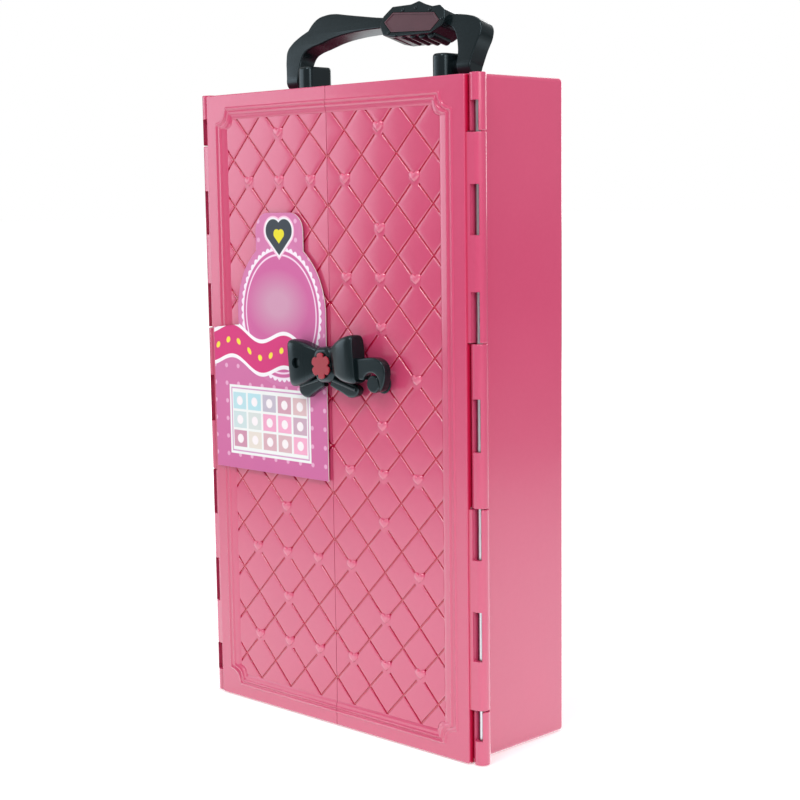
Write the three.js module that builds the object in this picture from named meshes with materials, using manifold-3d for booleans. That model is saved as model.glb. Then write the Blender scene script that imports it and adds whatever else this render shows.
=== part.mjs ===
// Doll wardrobe trunk: a moulded case, two quilted doors on wire hinges, a folding handle and a bow clasp
// Millimetres. +X is right, the doors face -Y and +Z is up.
// The origin is the centre of the case's bottom face.

import * as THREE from 'three';
import { mergeVertices } from 'three/addons/utils/BufferGeometryUtils.js';
import Module from 'manifold-3d';

const wasm = await Module();
wasm.setup();

// Driving dimensions of the whole trunk
const caseWidth = 171.8;
const caseHeight = 308;
const trunkDepth = 69;
const doorDepth = 9.2;
const wall = 2;
const seat = 0.3;
const overrun = 1;

// Planes that follow from them
const caseSide = caseWidth / 2;
const caseBack = trunkDepth / 2;
const doorFront = -trunkDepth / 2;
const doorBack = doorFront + doorDepth;
const caseFront = doorBack + seat;
const caseInside = caseSide - wall;
const caseInsideBack = caseBack - wall;
const caseCeiling = caseHeight - wall;

// Case edges
const caseCorner = 1.5;
const caseEdge = 1;

// Hinges: the barrels stand beside the doors and turn on a full-height wire pin
const hingeReach = 4.37;
const barrelRadius = 3.73;
const barrelSetBack = 1.45;
const pinRadius = 1.3;
const pinEndCover = 1.5;
const hingeX = caseSide + hingeReach;
const hingeY = doorFront + barrelSetBack + barrelRadius;
const knuckleGap = 0.5;
const knuckleShares = [0, 0.0825, 0.3825, 0.621, 0.918, 1];
const slotShares = [
  [[0.037, 0.0825]],
  [[0.157, 0.231], [0.307, 0.3825]],
  [[0.465, 0.542]],
  [[0.621, 0.694], [0.774, 0.845]],
  [[0.918, 0.961]],
];
const slotInnerReach = 0.5;
const slotFloor = 0.4;
const slotOuterReach = 2.65;
const webThickness = 4.3;
const webSetBack = 1;
const flangeSetBack = 0.2;

// Doors
const seamGap = 0.3;
const doorSeam = seamGap / 2;
const doorOverhang = 0.9;
const doorEdge = caseSide + doorOverhang;
const doorFootGap = 0.4;
const doorHeadGap = 0.8;
const doorBottom = doorFootGap;
const doorTop = caseHeight - doorHeadGap;
const doorMiddle = (doorTop + doorBottom) / 2;
const doorPlate = 2.2;
const doorWall = 1.8;
const doorWallSetIn = 2.4;
const doorWallOuter = caseSide - doorWallSetIn;
const plateBack = doorFront + doorPlate;
const doorEdgeRounding = 0.5;
const rimSetIn = 0.15;

// The moulding round both doors: two ridges, then a slope down to the quilted field
const outerRidgeSide = 7.5;
const outerRidgeEnd = 7.2;
const outerRidgeNotch = 8.4;
const innerRidgeSide = 10.3;
const innerRidgeEnd = 9.4;
const innerRidgeNotch = 7.1;
const ridgeHalfWidth = 1;
const ridgeCrestHalfWidth = 0.4;
const ridgeHeight = 0.6;
const fieldSide = 15.3;
const fieldEnd = 12.6;
const fieldNotch = 4.9;
const fieldDepth = 0.6;
const fieldFront = doorFront + fieldDepth;

// The quilted lattice and its hearts, on the right door; the left door is its mirror image
const latticeWide = 22.3;
const latticeTall = 22.8;
const latticeX = 11.74;
const latticeZ = 12.84;
const latticeRows = Math.ceil(doorTop / latticeTall);
const latticeRowsBeyond = 4;
const grooveWidth = 0.9;
const grooveDepth = 0.6;
const heartWidth = 5;
const heartHeight = 1;
const heartClearance = 1.1;
const heartPlaces = [
  [1, 12], [0, 11], [1, 11], [2, 11], [1, 10], [0, 9], [1, 9], [2, 9], [1, 8],
  [2, 7], [1, 6], [0, 5], [1, 5], [0, 3], [2, 3], [1, 2], [0, 1], [1, 1], [2, 1],
];

// Partitions and shelves in the case
const partition = 1.6;
const partitionFront = -13;
const dividerX = -25.8;
const cubbyCount = 5;
const shelfLip = 3;
const shoeShelfFront = -4;
const shoeShelfHeights = [38, 76];
const railDrop = 38;
const railHeight = caseCeiling - railDrop;
const railDepth = 8;
const railRadius = 2.2;
const railSocketRadius = 5;
const railSocketLength = 3;

// Handle: a flat arch that turns on two pivots beside the bosses, and leans back a little at rest
const handleLeanDegrees = 13.8;
const handlePivotY = 1.9;
const handlePivotRise = 6;
const handlePivotZ = caseHeight + handlePivotRise;
const handleHalfWidth = 64.8;
const handleRise = 31.2;
const handleThickness = 9.5;
const handleRounding = 1;
const legInnerShare = 0.822;
const legInner = handleHalfWidth * legInnerShare;
const pivotPinRadius = 1.6;
const pivotPinReach = 6.5;

// Handle bosses and their screws
const collarLength = 3.3;
const bossWidth = 9;
const bossOuter = legInner - collarLength;
const bossInner = bossOuter - bossWidth;
const bossDepth = 17.5;
const bossHeight = 13;
const bossCorner = 2.6;
const bossEdge = 1.4;
const collarRadius = 3.6;
const screwSpacing = 9;
const screwRadius = 1.2;
const screwHeadRadius = 2.3;
const screwHeadHeight = 1.6;
const screwLength = 3;

// Grip: a six-sided ribbon block right of centre, with a blank plate in front and finger ribs below
const gripX = 26.3;
const gripZ = 23.1;
const gripTurnDegrees = 6;
const gripHalfLength = 19.8;
const gripHalfHeight = 7.6;
const gripProud = 3;
const gripRounding = 0.9;
const gripRibCount = 5;
const gripRibSpacing = 5.9;
const gripRibRadius = 2.5;
const gripRibDrop = 6;
const plateShare = 0.74;
const plateRecess = 0.9;
const plateThickness = 1;

// Bow clasp: it turns on a pin in its left loop, and its hook drops over the peg of the right door
const claspStandOff = 1.8;
const claspBack = doorFront - claspStandOff;
const bowX = 3.6;
const bowHeightShare = 0.58;
const bowZ = caseHeight * bowHeightShare;
const bowTiltDegrees = 4.3;
const knotHalfWidth = 6;
const knotHalfHeight = 7.6;
const knotDepth = 6.8;
const knotRounding = 1.8;
const loopLength = 19.4;
const loopHalfHeight = 11.4;
const loopDepth = 9.4;
const tailLength = 18;
const tailHalfWidth = 4.6;
const tailDepth = 5;
const tailTurnDegrees = 43;
const claspPinX = -12.2;
const claspPinDrop = 0.4;
const claspPinZ = bowZ - claspPinDrop;
const claspPinRadius = 1.5;
const claspPinHeadRadius = 2.2;
const claspPinHeadThickness = 1.4;
const claspPinHeadDepth = 7.6;
const claspPinClip = 1.2;
const pegX = 35.6;
const pegDrop = 7.9;
const pegZ = bowZ - pegDrop;
const pegRadius = 4.1;
const pegFlangeRadius = 4.9;
const pegFlangeThickness = 0.8;
const pegReach = 7.4;
const pegEdge = 0.6;
const pegStemRadius = 1.6;
const pegClipRadius = 2.6;
const hookClearance = 2.3;
const hookArmWidth = 5.2;
const hookThickness = 4.6;
const hookEngagement = 3;
const hookEndDegrees = -42;
const hookMouthDegrees = 128;
const hookRounding = 0.8;
const hookRootShare = 0.55;
const flowerRadius = 5.9;
const flowerPetalShare = 0.11;
const flowerPetals = 8;
const flowerThickness = 1;

// Fittings inside the doors
const fittingMargin = 8.4;
const fittingInner = doorSeam + doorWall + fittingMargin;
const fittingOuter = doorWallOuter - doorWall - fittingMargin;
const fittingMiddle = (fittingInner + fittingOuter) / 2;
const trayDepth = 16;
const trayHeight = 20;
const trayWall = 1.4;
const trayHeights = [34, 104];
const hookStripHeight = 8;
const hookStripDrop = 19.2;
const hookStripTop = doorTop - hookStripDrop;
const hookStripThickness = 1.6;
const hookCount = 5;
const hookRadius = 1.2;
const hookReach = 9;
const hookRise = 3;
const mirrorHalfWidth = 25;
const mirrorHalfHeight = 42;
const mirrorPegGap = 2.7;
const mirrorZ = pegZ + pegClipRadius + mirrorPegGap + mirrorHalfHeight;
const mirrorRim = 4;
const mirrorFrameThickness = 2.6;
const mirrorFrameBack = 0.8;
const mirrorGlassThickness = 1;

// Label card
const cardThickness = 0.5;
const cardBack = doorFront - ridgeHeight - seat;
const cardLeft = -84;
const cardRight = -1.2;
const cardBottomDrop = 57.6;
const cardBottom = bowZ - cardBottomDrop;
const cardShoulderRise = 13.4;
const cardShoulder = bowZ + cardShoulderRise;
const cardOvalX = -33;
const cardOvalRise = 21.4;
const cardOvalZ = bowZ + cardOvalRise;
const cardOvalHalfWidth = 31.8;
const cardOvalHalfHeight = 36;
const cardTabHalfWidth = 17;
const cardTabRise = 49;
const cardTabTop = cardOvalZ + cardTabRise;
const cardTabRadius = 9;

// Colours and finishes
const pink = { color: 0xdb6288, roughness: 0.32, metalness: 0 };
const black = { color: 0x16181a, roughness: 0.22, metalness: 0 };
const coral = { color: 0xd9404f, roughness: 0.35, metalness: 0 };
const steel = { color: 0xb8b8bc, roughness: 0.3, metalness: 1 };
const mirrorSilver = { color: 0xe8ecef, roughness: 0.05, metalness: 1 };
const printedCard = { color: 0xe06fae, roughness: 0.45, metalness: 0 };
const plum = { color: 0x4a2832, roughness: 0.3, metalness: 0 };

// How finely the round forms are cut
const barrelSides = 16;
const smallSides = 12;
const wireSides = 8;
const cornerSteps = 4;
const notchSteps = 6;
const ovalSteps = 36;
const heartSteps = 10;
const footSteps = 10;
const legSteps = 10;
const humpSteps = 26;
const archSteps = 22;
const loopSteps = 14;
const hookSteps = 14;
const petalSteps = 6;

const planeAxes = {
  xy: [new THREE.Vector3(1, 0, 0), new THREE.Vector3(0, 1, 0), new THREE.Vector3(0, 0, 1)],
  yz: [new THREE.Vector3(0, 1, 0), new THREE.Vector3(0, 0, 1), new THREE.Vector3(1, 0, 0)],
  xz: [new THREE.Vector3(1, 0, 0), new THREE.Vector3(0, 0, 1), new THREE.Vector3(0, -1, 0)],
};

// Shape helpers

function solidOf(geometry) {
  const bare = geometry.clone();
  bare.deleteAttribute('normal');
  bare.deleteAttribute('uv');
  const merged = mergeVertices(bare);
  return new wasm.Manifold(new wasm.Mesh({
    numProp: 3,
    vertProperties: new Float32Array(merged.attributes.position.array),
    triVerts: new Uint32Array(merged.index.array),
  }));
}

function geometryOf(solid) {
  const mesh = solid.getMesh();
  const geometry = new THREE.BufferGeometry();
  geometry.setAttribute('position', new THREE.BufferAttribute(mesh.vertProperties, 3));
  geometry.setIndex(new THREE.BufferAttribute(mesh.triVerts, 1));
  geometry.computeVertexNormals();
  return geometry;
}

function unite(geometries) {
  return geometries.map(solidOf).reduce((whole, piece) => whole.add(piece));
}

// A block between two corners
function block(xFrom, xTo, yFrom, yTo, zFrom, zTo) {
  const geometry = new THREE.BoxGeometry(xTo - xFrom, yTo - yFrom, zTo - zFrom);
  return geometry.translate((xFrom + xTo) / 2, (yFrom + yTo) / 2, (zFrom + zTo) / 2);
}

// A round bar along one axis, through the other two coordinates of its centre line
function bar(axis, radius, from, to, centre, sides = smallSides) {
  const geometry = new THREE.CylinderGeometry(radius, radius, to - from, sides);
  const middle = (from + to) / 2;
  if (axis === 'z') {
    return geometry.rotateX(Math.PI / 2).translate(centre[0], centre[1], middle);
  }
  if (axis === 'x') {
    return geometry.rotateZ(Math.PI / 2).translate(middle, centre[0], centre[1]);
  }
  return geometry.translate(centre[0], middle, centre[1]);
}

// An outline in one plane, carried from one depth to another, with rounded rims if asked
function prism(plane, outline, from, to, rounding = 0, hole = null) {
  const shape = new THREE.Shape(outline.map(([a, b]) => new THREE.Vector2(a, b)));
  if (hole) {
    shape.holes.push(new THREE.Path(hole.map(([a, b]) => new THREE.Vector2(a, b))));
  }
  const geometry = new THREE.ExtrudeGeometry(shape, {
    depth: to - from - 2 * rounding,
    bevelEnabled: rounding > 0,
    bevelThickness: rounding,
    bevelSize: rounding,
    bevelOffset: -rounding,
    bevelSegments: 2,
  });
  geometry.translate(0, 0, (plane === 'xz' ? -to : from) + rounding);
  return geometry.applyMatrix4(new THREE.Matrix4().makeBasis(...planeAxes[plane]));
}

// A prism with one rim rounded and the other cut square
function cappedPrism(plane, outline, square, rounded, rounding) {
  const beyond = rounding + overrun;
  const [from, to] = square < rounded ? [square - beyond, rounded] : [rounded, square + beyond];
  const long = prism(plane, outline, from, to, rounding);
  long.computeBoundingBox();
  const { min, max } = long.boundingBox;
  const low = min.clone().subScalar(overrun);
  const high = max.clone().addScalar(overrun);
  const axis = { xy: 'z', yz: 'x', xz: 'y' }[plane];
  if (square < rounded) {
    high[axis] = square;
  } else {
    low[axis] = square;
  }
  return solidOf(long).subtract(solidOf(block(low.x, high.x, low.y, high.y, low.z, high.z)));
}

// A closed surface from points and triangles, turned so that its faces point out
function closedSurface(points, triangles) {
  let volume = 0;
  for (const [a, b, c] of triangles) {
    volume += points[a].dot(points[b].clone().cross(points[c]));
  }
  const faces = volume < 0 ? triangles.map(([a, b, c]) => [a, c, b]) : triangles;
  const geometry = new THREE.BufferGeometry().setFromPoints(points);
  geometry.setIndex(faces.flat());
  return geometry;
}

// A skin over rings of points, closed at both ends or joined into a loop
function loft(rings, looped = false) {
  const points = rings.flat();
  const count = rings[0].length;
  const triangles = [];
  const spans = looped ? rings.length : rings.length - 1;
  for (let i = 0; i < spans; i += 1) {
    const here = i * count;
    const there = ((i + 1) % rings.length) * count;
    for (let j = 0; j < count; j += 1) {
      const next = (j + 1) % count;
      triangles.push([here + j, here + next, there + next], [here + j, there + next, there + j]);
    }
  }
  if (!looped) {
    const ends = [[0, true], [(rings.length - 1) * count, false]];
    for (const [start, first] of ends) {
      const ring = points.slice(start, start + count);
      const centre = ring.reduce((sum, point) => sum.add(point), new THREE.Vector3()).divideScalar(count);
      points.push(centre);
      for (let j = 0; j < count; j += 1) {
        const next = start + ((j + 1) % count);
        triangles.push(first ? [points.length - 1, next, start + j] : [points.length - 1, start + j, next]);
      }
    }
  }
  return closedSurface(points, triangles);
}

// A body of revolution round an axis along Y, from a profile of [radius, y] that starts and ends on the axis
function turned(profile, x, z, sides = barrelSides) {
  const geometry = new THREE.LatheGeometry(profile.map(([r, y]) => new THREE.Vector2(r, y)), sides);
  return geometryOf(solidOf(geometry.translate(x, 0, z)));
}

function mirrored(geometry) {
  const copy = geometry.clone().applyMatrix4(new THREE.Matrix4().makeScale(-1, 1, 1));
  const index = copy.index.array;
  for (let i = 0; i < index.length; i += 3) {
    [index[i], index[i + 1]] = [index[i + 1], index[i]];
  }
  return copy;
}

function arcPoints(a, b, radiusA, radiusB, fromDegrees, toDegrees, steps) {
  return Array.from({ length: steps + 1 }, (_, i) => {
    const turn = THREE.MathUtils.degToRad(fromDegrees + ((toDegrees - fromDegrees) * i) / steps);
    return [a + radiusA * Math.cos(turn), b + radiusB * Math.sin(turn)];
  });
}

function roundedRectangle(aFrom, aTo, bFrom, bTo, radius) {
  const corner = (a, b, start) => arcPoints(a, b, radius, radius, start, start + 90, cornerSteps);
  return [
    ...corner(aTo - radius, bTo - radius, 0),
    ...corner(aFrom + radius, bTo - radius, 90),
    ...corner(aFrom + radius, bFrom + radius, 180),
    ...corner(aTo - radius, bFrom + radius, 270),
  ];
}

function oval(a, b, radiusA, radiusB) {
  return arcPoints(a, b, radiusA, radiusB, 0, 360, ovalSteps).slice(0, ovalSteps);
}

function smoothCurve(points, steps) {
  const curve = new THREE.SplineCurve(points.map(([a, b]) => new THREE.Vector2(a, b)));
  return curve.getPoints(steps).map((point) => [point.x, point.y]);
}

function scaled(shares, sizeA, sizeB) {
  return shares.map(([a, b]) => [a * sizeA, b * sizeB]);
}

function rotated(outline, degrees) {
  const turn = THREE.MathUtils.degToRad(degrees);
  const [c, s] = [Math.cos(turn), Math.sin(turn)];
  return outline.map(([a, b]) => [a * c - b * s, a * s + b * c]);
}

function moved(outline, a, b) {
  return outline.map(([p, q]) => [p + a, q + b]);
}

// Hinge knuckles on the right; the case owns the first, third and fifth from the bottom, the door the others

function knuckle(index, lowest, highest, flange) {
  const from = Math.max(lowest, knuckleShares[index] * caseHeight + knuckleGap / 2);
  const to = Math.min(highest, knuckleShares[index + 1] * caseHeight - knuckleGap / 2);
  const barrel = bar('z', barrelRadius, from, to, [hingeX, hingeY], barrelSides);
  let solid = unite([barrel, prism('xy', flange, from, to)]);
  for (const [low, high] of slotShares[index]) {
    const bottom = low === knuckleShares[index] ? from - overrun : low * caseHeight;
    const top = high === knuckleShares[index + 1] ? to + overrun : high * caseHeight;
    const slot = block(
      hingeX - slotInnerReach, hingeX + slotOuterReach, doorFront, hingeY - slotFloor, bottom, top,
    );
    solid = solid.subtract(solidOf(slot));
  }
  return solid;
}

function pinBore() {
  const radius = pinRadius + seat;
  const top = caseHeight - pinEndCover;
  return solidOf(bar('z', radius, -overrun, top, [hingeX, hingeY], smallSides));
}

function caseKnuckles() {
  const webBack = hingeY + webSetBack + webThickness;
  const web = [
    [caseInside, hingeY + webSetBack],
    [hingeX, hingeY + webSetBack],
    [hingeX, hingeY + barrelRadius],
    [caseSide, webBack],
    [caseInside, webBack],
  ];
  const knuckles = [0, 2, 4].map((index) => knuckle(index, 0, caseHeight, web));
  return knuckles.reduce((whole, piece) => whole.add(piece)).subtract(pinBore());
}

function doorKnuckles() {
  const flangeFront = doorFront + doorEdgeRounding + flangeSetBack;
  const flangeBack = plateBack - flangeSetBack;
  const flange = [
    [doorEdge - doorWall, flangeFront],
    [doorEdge, flangeFront],
    [hingeX, hingeY - barrelRadius],
    [hingeX, hingeY],
    [doorEdge, flangeBack],
    [doorEdge - doorWall, flangeBack],
  ];
  const knuckles = [1, 3].map((index) => knuckle(index, doorBottom, doorTop, flange));
  return knuckles.reduce((whole, piece) => whole.add(piece)).subtract(pinBore());
}

// The case: a deep tray, open to the front, with the boss screws' holes in its top

function screwPlaces() {
  const places = [];
  for (const side of [-1, 1]) {
    for (const end of [-1, 1]) {
      places.push([side * (bossInner + bossOuter) / 2, handlePivotY + (end * screwSpacing) / 2]);
    }
  }
  return places;
}

function caseShell() {
  const outline = roundedRectangle(-caseSide, caseSide, 0, caseHeight, caseCorner);
  const hollow = roundedRectangle(-caseInside, caseInside, wall, caseCeiling, caseEdge);
  let shell = cappedPrism('xz', outline, caseFront, caseBack, caseEdge);
  shell = shell.subtract(solidOf(prism('xz', hollow, caseFront - overrun, caseInsideBack)));
  for (const place of screwPlaces()) {
    const hole = bar('z', screwRadius + seat, caseCeiling - overrun, caseHeight + overrun, place);
    shell = shell.subtract(solidOf(hole));
  }
  const rightKnuckles = caseKnuckles();
  const leftKnuckles = solidOf(mirrored(geometryOf(rightKnuckles)));
  return geometryOf(shell.add(rightKnuckles).add(leftKnuckles));
}

function hingePin(side) {
  const top = caseHeight - pinEndCover - seat;
  return bar('z', pinRadius, seat, top, [side * hingeX, hingeY]);
}

// The doors: a front plate with low walls behind it, a framed relief and a quilted field

function panelOutline(sideInset, endInset, notch, grow = 0) {
  const halfWidth = doorEdge - sideInset + grow;
  const halfHeight = (doorTop - doorBottom) / 2 - endInset + grow;
  const corners = [[1, 1], [-1, 1], [-1, -1], [1, -1]];
  return corners.flatMap(([sideSign, endSign], i) => arcPoints(
    sideSign * halfWidth, doorMiddle + endSign * halfHeight, notch, notch,
    270 + 90 * i, 180 + 90 * i, notchSteps,
  ));
}

function atDepth(outline, y) {
  return outline.map(([x, z]) => new THREE.Vector3(x, y, z));
}

function ridge(sideInset, endInset, notch) {
  const foot = doorFront + ridgeHeight;
  const crest = doorFront - ridgeHeight;
  const section = [
    [ridgeHalfWidth, foot],
    [ridgeHalfWidth, doorFront],
    [ridgeCrestHalfWidth, crest],
    [-ridgeCrestHalfWidth, crest],
    [-ridgeHalfWidth, doorFront],
    [-ridgeHalfWidth, foot],
  ];
  return loft(section.map(([grow, y]) => atDepth(panelOutline(sideInset, endInset, notch, grow), y)), true);
}

function fieldPocket() {
  const rim = panelOutline(innerRidgeSide + ridgeHalfWidth, innerRidgeEnd + ridgeHalfWidth, innerRidgeNotch);
  const field = panelOutline(fieldSide, fieldEnd, fieldNotch);
  return loft([atDepth(rim, doorFront - overrun), atDepth(rim, doorFront), atDepth(field, fieldFront)]);
}

function heartOutline(x, z) {
  const riseShares = [0.406, -0.156, -0.0625, -0.031];
  return Array.from({ length: heartSteps }, (_, i) => {
    const turn = (2 * Math.PI * i) / heartSteps;
    const across = (Math.sin(turn) ** 3) / 2;
    const up = riseShares.reduce((sum, share, n) => sum + share * Math.cos((n + 1) * turn), 0);
    return [x + across * heartWidth, z + up * heartWidth];
  });
}

function latticeNode([column, row]) {
  return [latticeX + column * latticeWide, latticeZ + row * latticeTall];
}

function heartNodes() {
  const margin = heartWidth / 2 + heartClearance;
  const side = doorEdge - fieldSide - margin;
  const top = doorTop - fieldEnd - margin;
  return heartPlaces.map(latticeNode).filter(([x, z]) => x < side && z < top);
}

function latticeGrooves() {
  const slope = Math.atan2(latticeTall, latticeWide);
  const length = 2 * caseSide / Math.cos(slope);
  const bars = [];
  for (let row = -latticeRowsBeyond; row <= latticeRows + latticeRowsBeyond; row += 1) {
    for (const way of [-1, 1]) {
      const groove = new THREE.BoxGeometry(length, 2 * grooveDepth, grooveWidth);
      groove.rotateY(way * slope);
      bars.push(groove.translate(latticeX, fieldFront, latticeZ + row * latticeTall));
    }
  }
  const field = panelOutline(fieldSide, fieldEnd, fieldNotch);
  let grooves = unite(bars).intersect(solidOf(prism('xz', field, fieldFront - overrun, plateBack)));
  for (const node of heartNodes()) {
    const reach = heartWidth / 2 + heartClearance;
    const clear = bar('y', reach, fieldFront - overrun, plateBack, node);
    grooves = grooves.subtract(solidOf(clear));
  }
  return grooves;
}

function doorHearts() {
  return unite(heartNodes().map(([x, z]) => (
    prism('xz', heartOutline(x, z), fieldFront - heartHeight, fieldFront + grooveDepth)
  )));
}

function doorBlank() {
  const outline = roundedRectangle(-doorEdge, doorEdge, doorBottom, doorTop, caseEdge);
  const both = cappedPrism('xz', outline, plateBack, doorFront, doorEdgeRounding);
  const keep = solidOf(block(
    doorSeam, hingeX, doorFront - ridgeHeight - overrun, doorBack, doorBottom - overrun, doorTop + overrun,
  ));
  const rim = solidOf(block(
    doorSeam + rimSetIn, doorWallOuter, plateBack - doorEdgeRounding, doorBack,
    doorBottom + rimSetIn, doorTop - rimSetIn,
  ));
  const hollow = solidOf(block(
    doorSeam + doorWall, doorWallOuter - doorWall, plateBack, doorBack + overrun,
    doorBottom + doorWall, doorTop - doorWall,
  ));
  const ridges = unite([
    ridge(outerRidgeSide, outerRidgeEnd, outerRidgeNotch),
    ridge(innerRidgeSide, innerRidgeEnd, innerRidgeNotch),
  ]);
  const plate = both.add(ridges).subtract(solidOf(fieldPocket()));
  return plate.intersect(keep).add(rim.subtract(hollow));
}

// The right door, with one hole through its plate for the pin or peg that it carries
function doorSolid(holeRadius, holeX, holeZ) {
  const hole = solidOf(bar('y', holeRadius, doorFront - overrun, plateBack + overrun, [holeX, holeZ]));
  const quilted = doorBlank().subtract(latticeGrooves()).add(doorHearts());
  return geometryOf(quilted.add(doorKnuckles()).subtract(hole));
}

function rightDoor() {
  return doorSolid(pegStemRadius + seat, pegX, pegZ);
}

function leftDoor() {
  return mirrored(doorSolid(claspPinRadius + seat, -claspPinX, claspPinZ));
}

// Partitions, shelves and rail in the case

function cubbyDivider() {
  return block(
    dividerX - partition / 2, dividerX + partition / 2,
    partitionFront, caseInsideBack - seat, wall + seat, caseCeiling - seat,
  );
}

function lippedShelf(xFrom, xTo, front, height) {
  const back = caseInsideBack - seat;
  const profile = [
    [front, height],
    [back, height],
    [back, height + partition],
    [front + partition, height + partition],
    [front + partition, height + shelfLip],
    [front, height + shelfLip],
  ];
  return prism('yz', profile, xFrom, xTo);
}

function cubbyShelf(number) {
  const height = wall + ((caseCeiling - wall) * number) / cubbyCount - partition / 2;
  return lippedShelf(-caseInside + seat, dividerX - partition / 2 - seat, partitionFront, height);
}

function shoeShelf(height) {
  return lippedShelf(dividerX + partition / 2 + seat, caseInside - seat, shoeShelfFront, height);
}

function railSocket(from, to) {
  const centre = [railDepth, railHeight];
  const disc = solidOf(bar('x', railSocketRadius, from, to, centre, barrelSides));
  const bore = bar('x', railRadius + seat, from - overrun, to + overrun, centre, barrelSides);
  return geometryOf(disc.subtract(solidOf(bore)));
}

// Fittings inside the doors, on the right; the left ones are mirror images

function doorTray(height) {
  const front = plateBack + seat;
  const back = front + trayDepth;
  const outer = block(fittingInner, fittingOuter, front, back, height, height + trayHeight);
  const hollow = block(
    fittingInner + trayWall, fittingOuter - trayWall, front + trayWall, back - trayWall,
    height + trayWall, height + trayHeight + overrun,
  );
  return geometryOf(solidOf(outer).subtract(solidOf(hollow)));
}

function hookStrip() {
  const front = plateBack + seat;
  const back = front + hookStripThickness;
  const middle = hookStripTop - hookStripHeight / 2;
  const strip = block(fittingInner, fittingOuter, front, back, hookStripTop - hookStripHeight, hookStripTop);
  const pieces = [strip];
  for (let i = 0; i < hookCount; i += 1) {
    const x = fittingInner + ((fittingOuter - fittingInner) * (i + 0.5)) / hookCount;
    const tip = back + hookReach;
    pieces.push(bar('y', hookRadius, front + hookStripThickness / 2, tip, [x, middle], wireSides));
    pieces.push(bar('z', hookRadius, middle, middle + hookRise, [x, tip - 2 * hookRadius], wireSides));
  }
  return mirrored(geometryOf(unite(pieces)));
}

function mirrorFrame() {
  const front = plateBack + seat;
  const back = front + mirrorFrameThickness;
  const disc = prism('xz', oval(fittingMiddle, mirrorZ, mirrorHalfWidth, mirrorHalfHeight), front, back);
  const recess = oval(fittingMiddle, mirrorZ, mirrorHalfWidth - mirrorRim, mirrorHalfHeight - mirrorRim);
  const hollow = prism('xz', recess, front + mirrorFrameBack, back + overrun);
  return geometryOf(solidOf(disc).subtract(solidOf(hollow)));
}

function mirrorGlass() {
  const front = plateBack + seat + mirrorFrameBack + seat;
  const setIn = mirrorRim + seat;
  const outline = oval(fittingMiddle, mirrorZ, mirrorHalfWidth - setIn, mirrorHalfHeight - setIn);
  return prism('xz', outline, front, front + mirrorGlassThickness);
}

// Handle, about its pivot line

const leftLegShares = [[-0.94, -0.15], [-0.967, 0.1], [-0.995, 0.31], [-0.998, 0.47], [-0.958, 0.58],
  [-0.882, 0.69], [-0.79, 0.765]];
const humpShares = [[-0.782, 0.79], [-0.765, 0.85], [-0.71, 0.95], [-0.63, 0.995], [-0.53, 1], [-0.4, 0.96],
  [-0.27, 0.92], [0.045, 0.83], [0.4, 0.785], [0.7, 0.765], [0.8, 0.742], [0.87, 0.718], [0.94, 0.676],
  [0.99, 0.6], [1.012, 0.48], [0.975, 0.21], [0.935, -0.15]];
const archShares = [[legInnerShare, -0.15], [legInnerShare, 0.14], [0.806, 0.295], [0.786, 0.4],
  [0.743, 0.53], [0.66, 0.61], [0.4, 0.66], [0, 0.673], [-0.16, 0.67], [-0.33, 0.657], [-0.49, 0.612],
  [-0.65, 0.525], [-0.745, 0.48], [-0.792, 0.426], [-0.813, 0.343], [-legInnerShare, 0.16],
  [-legInnerShare, -0.15]];
const gripShares = [[-1, -0.45], [-0.93, 0.35], [-0.66, 0.86], [-0.12, 0.9], [0.03, 1.08], [0.2, 0.92],
  [0.52, 0.72], [0.75, 0.86], [0.95, 0.52], [1, 0.05], [0.92, -0.35], [0.66, -0.78], [-0.5, -0.98],
  [-0.85, -0.82]];

function handleArch() {
  const legs = smoothCurve(scaled(leftLegShares, handleHalfWidth, handleRise), legSteps);
  const hump = smoothCurve(scaled(humpShares, handleHalfWidth, handleRise), humpSteps);
  const arch = smoothCurve(scaled(archShares, handleHalfWidth, handleRise), archSteps);
  const outline = [...legs, ...hump, ...arch];
  const half = handleThickness / 2;
  const slab = solidOf(prism('xz', outline, -half, half, handleRounding));
  const footRound = [
    ...arcPoints(0, 0, half, half, 180, 360, footSteps),
    [half, 2 * handleRise],
    [-half, 2 * handleRise],
  ];
  const reach = 2 * handleHalfWidth;
  return slab.intersect(solidOf(prism('yz', footRound, -reach, reach)));
}

function gripOutline() {
  const outline = scaled(gripShares, gripHalfLength, gripHalfHeight);
  return moved(rotated(outline, -gripTurnDegrees), gripX, gripZ);
}

function gripRibs() {
  const half = handleThickness / 2 + gripProud / 2;
  const middle = (gripRibCount - 1) / 2;
  const slope = Math.tan(THREE.MathUtils.degToRad(gripTurnDegrees));
  return Array.from({ length: gripRibCount }, (_, i) => {
    const along = (i - middle) * gripRibSpacing;
    const height = gripZ - gripRibDrop - along * slope;
    return bar('y', gripRibRadius, -half, half, [gripX + along, height]);
  });
}

function handleGrip() {
  const half = handleThickness / 2 + gripProud;
  const grip = prism('xz', gripOutline(), -half, half, gripRounding);
  let solid = handleArch().add(unite([grip, ...gripRibs()]));
  const recess = prism('xz', plateOutline(seat), -half - overrun, -half + plateRecess + seat);
  solid = solid.subtract(solidOf(recess));
  for (const side of [-1, 1]) {
    const [from, to] = [legInner - overrun, legInner + pivotPinReach + seat].map((x) => side * x);
    const bore = bar('x', pivotPinRadius + seat, Math.min(from, to), Math.max(from, to), [0, 0]);
    solid = solid.subtract(solidOf(bore));
  }
  return geometryOf(solid);
}

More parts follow.
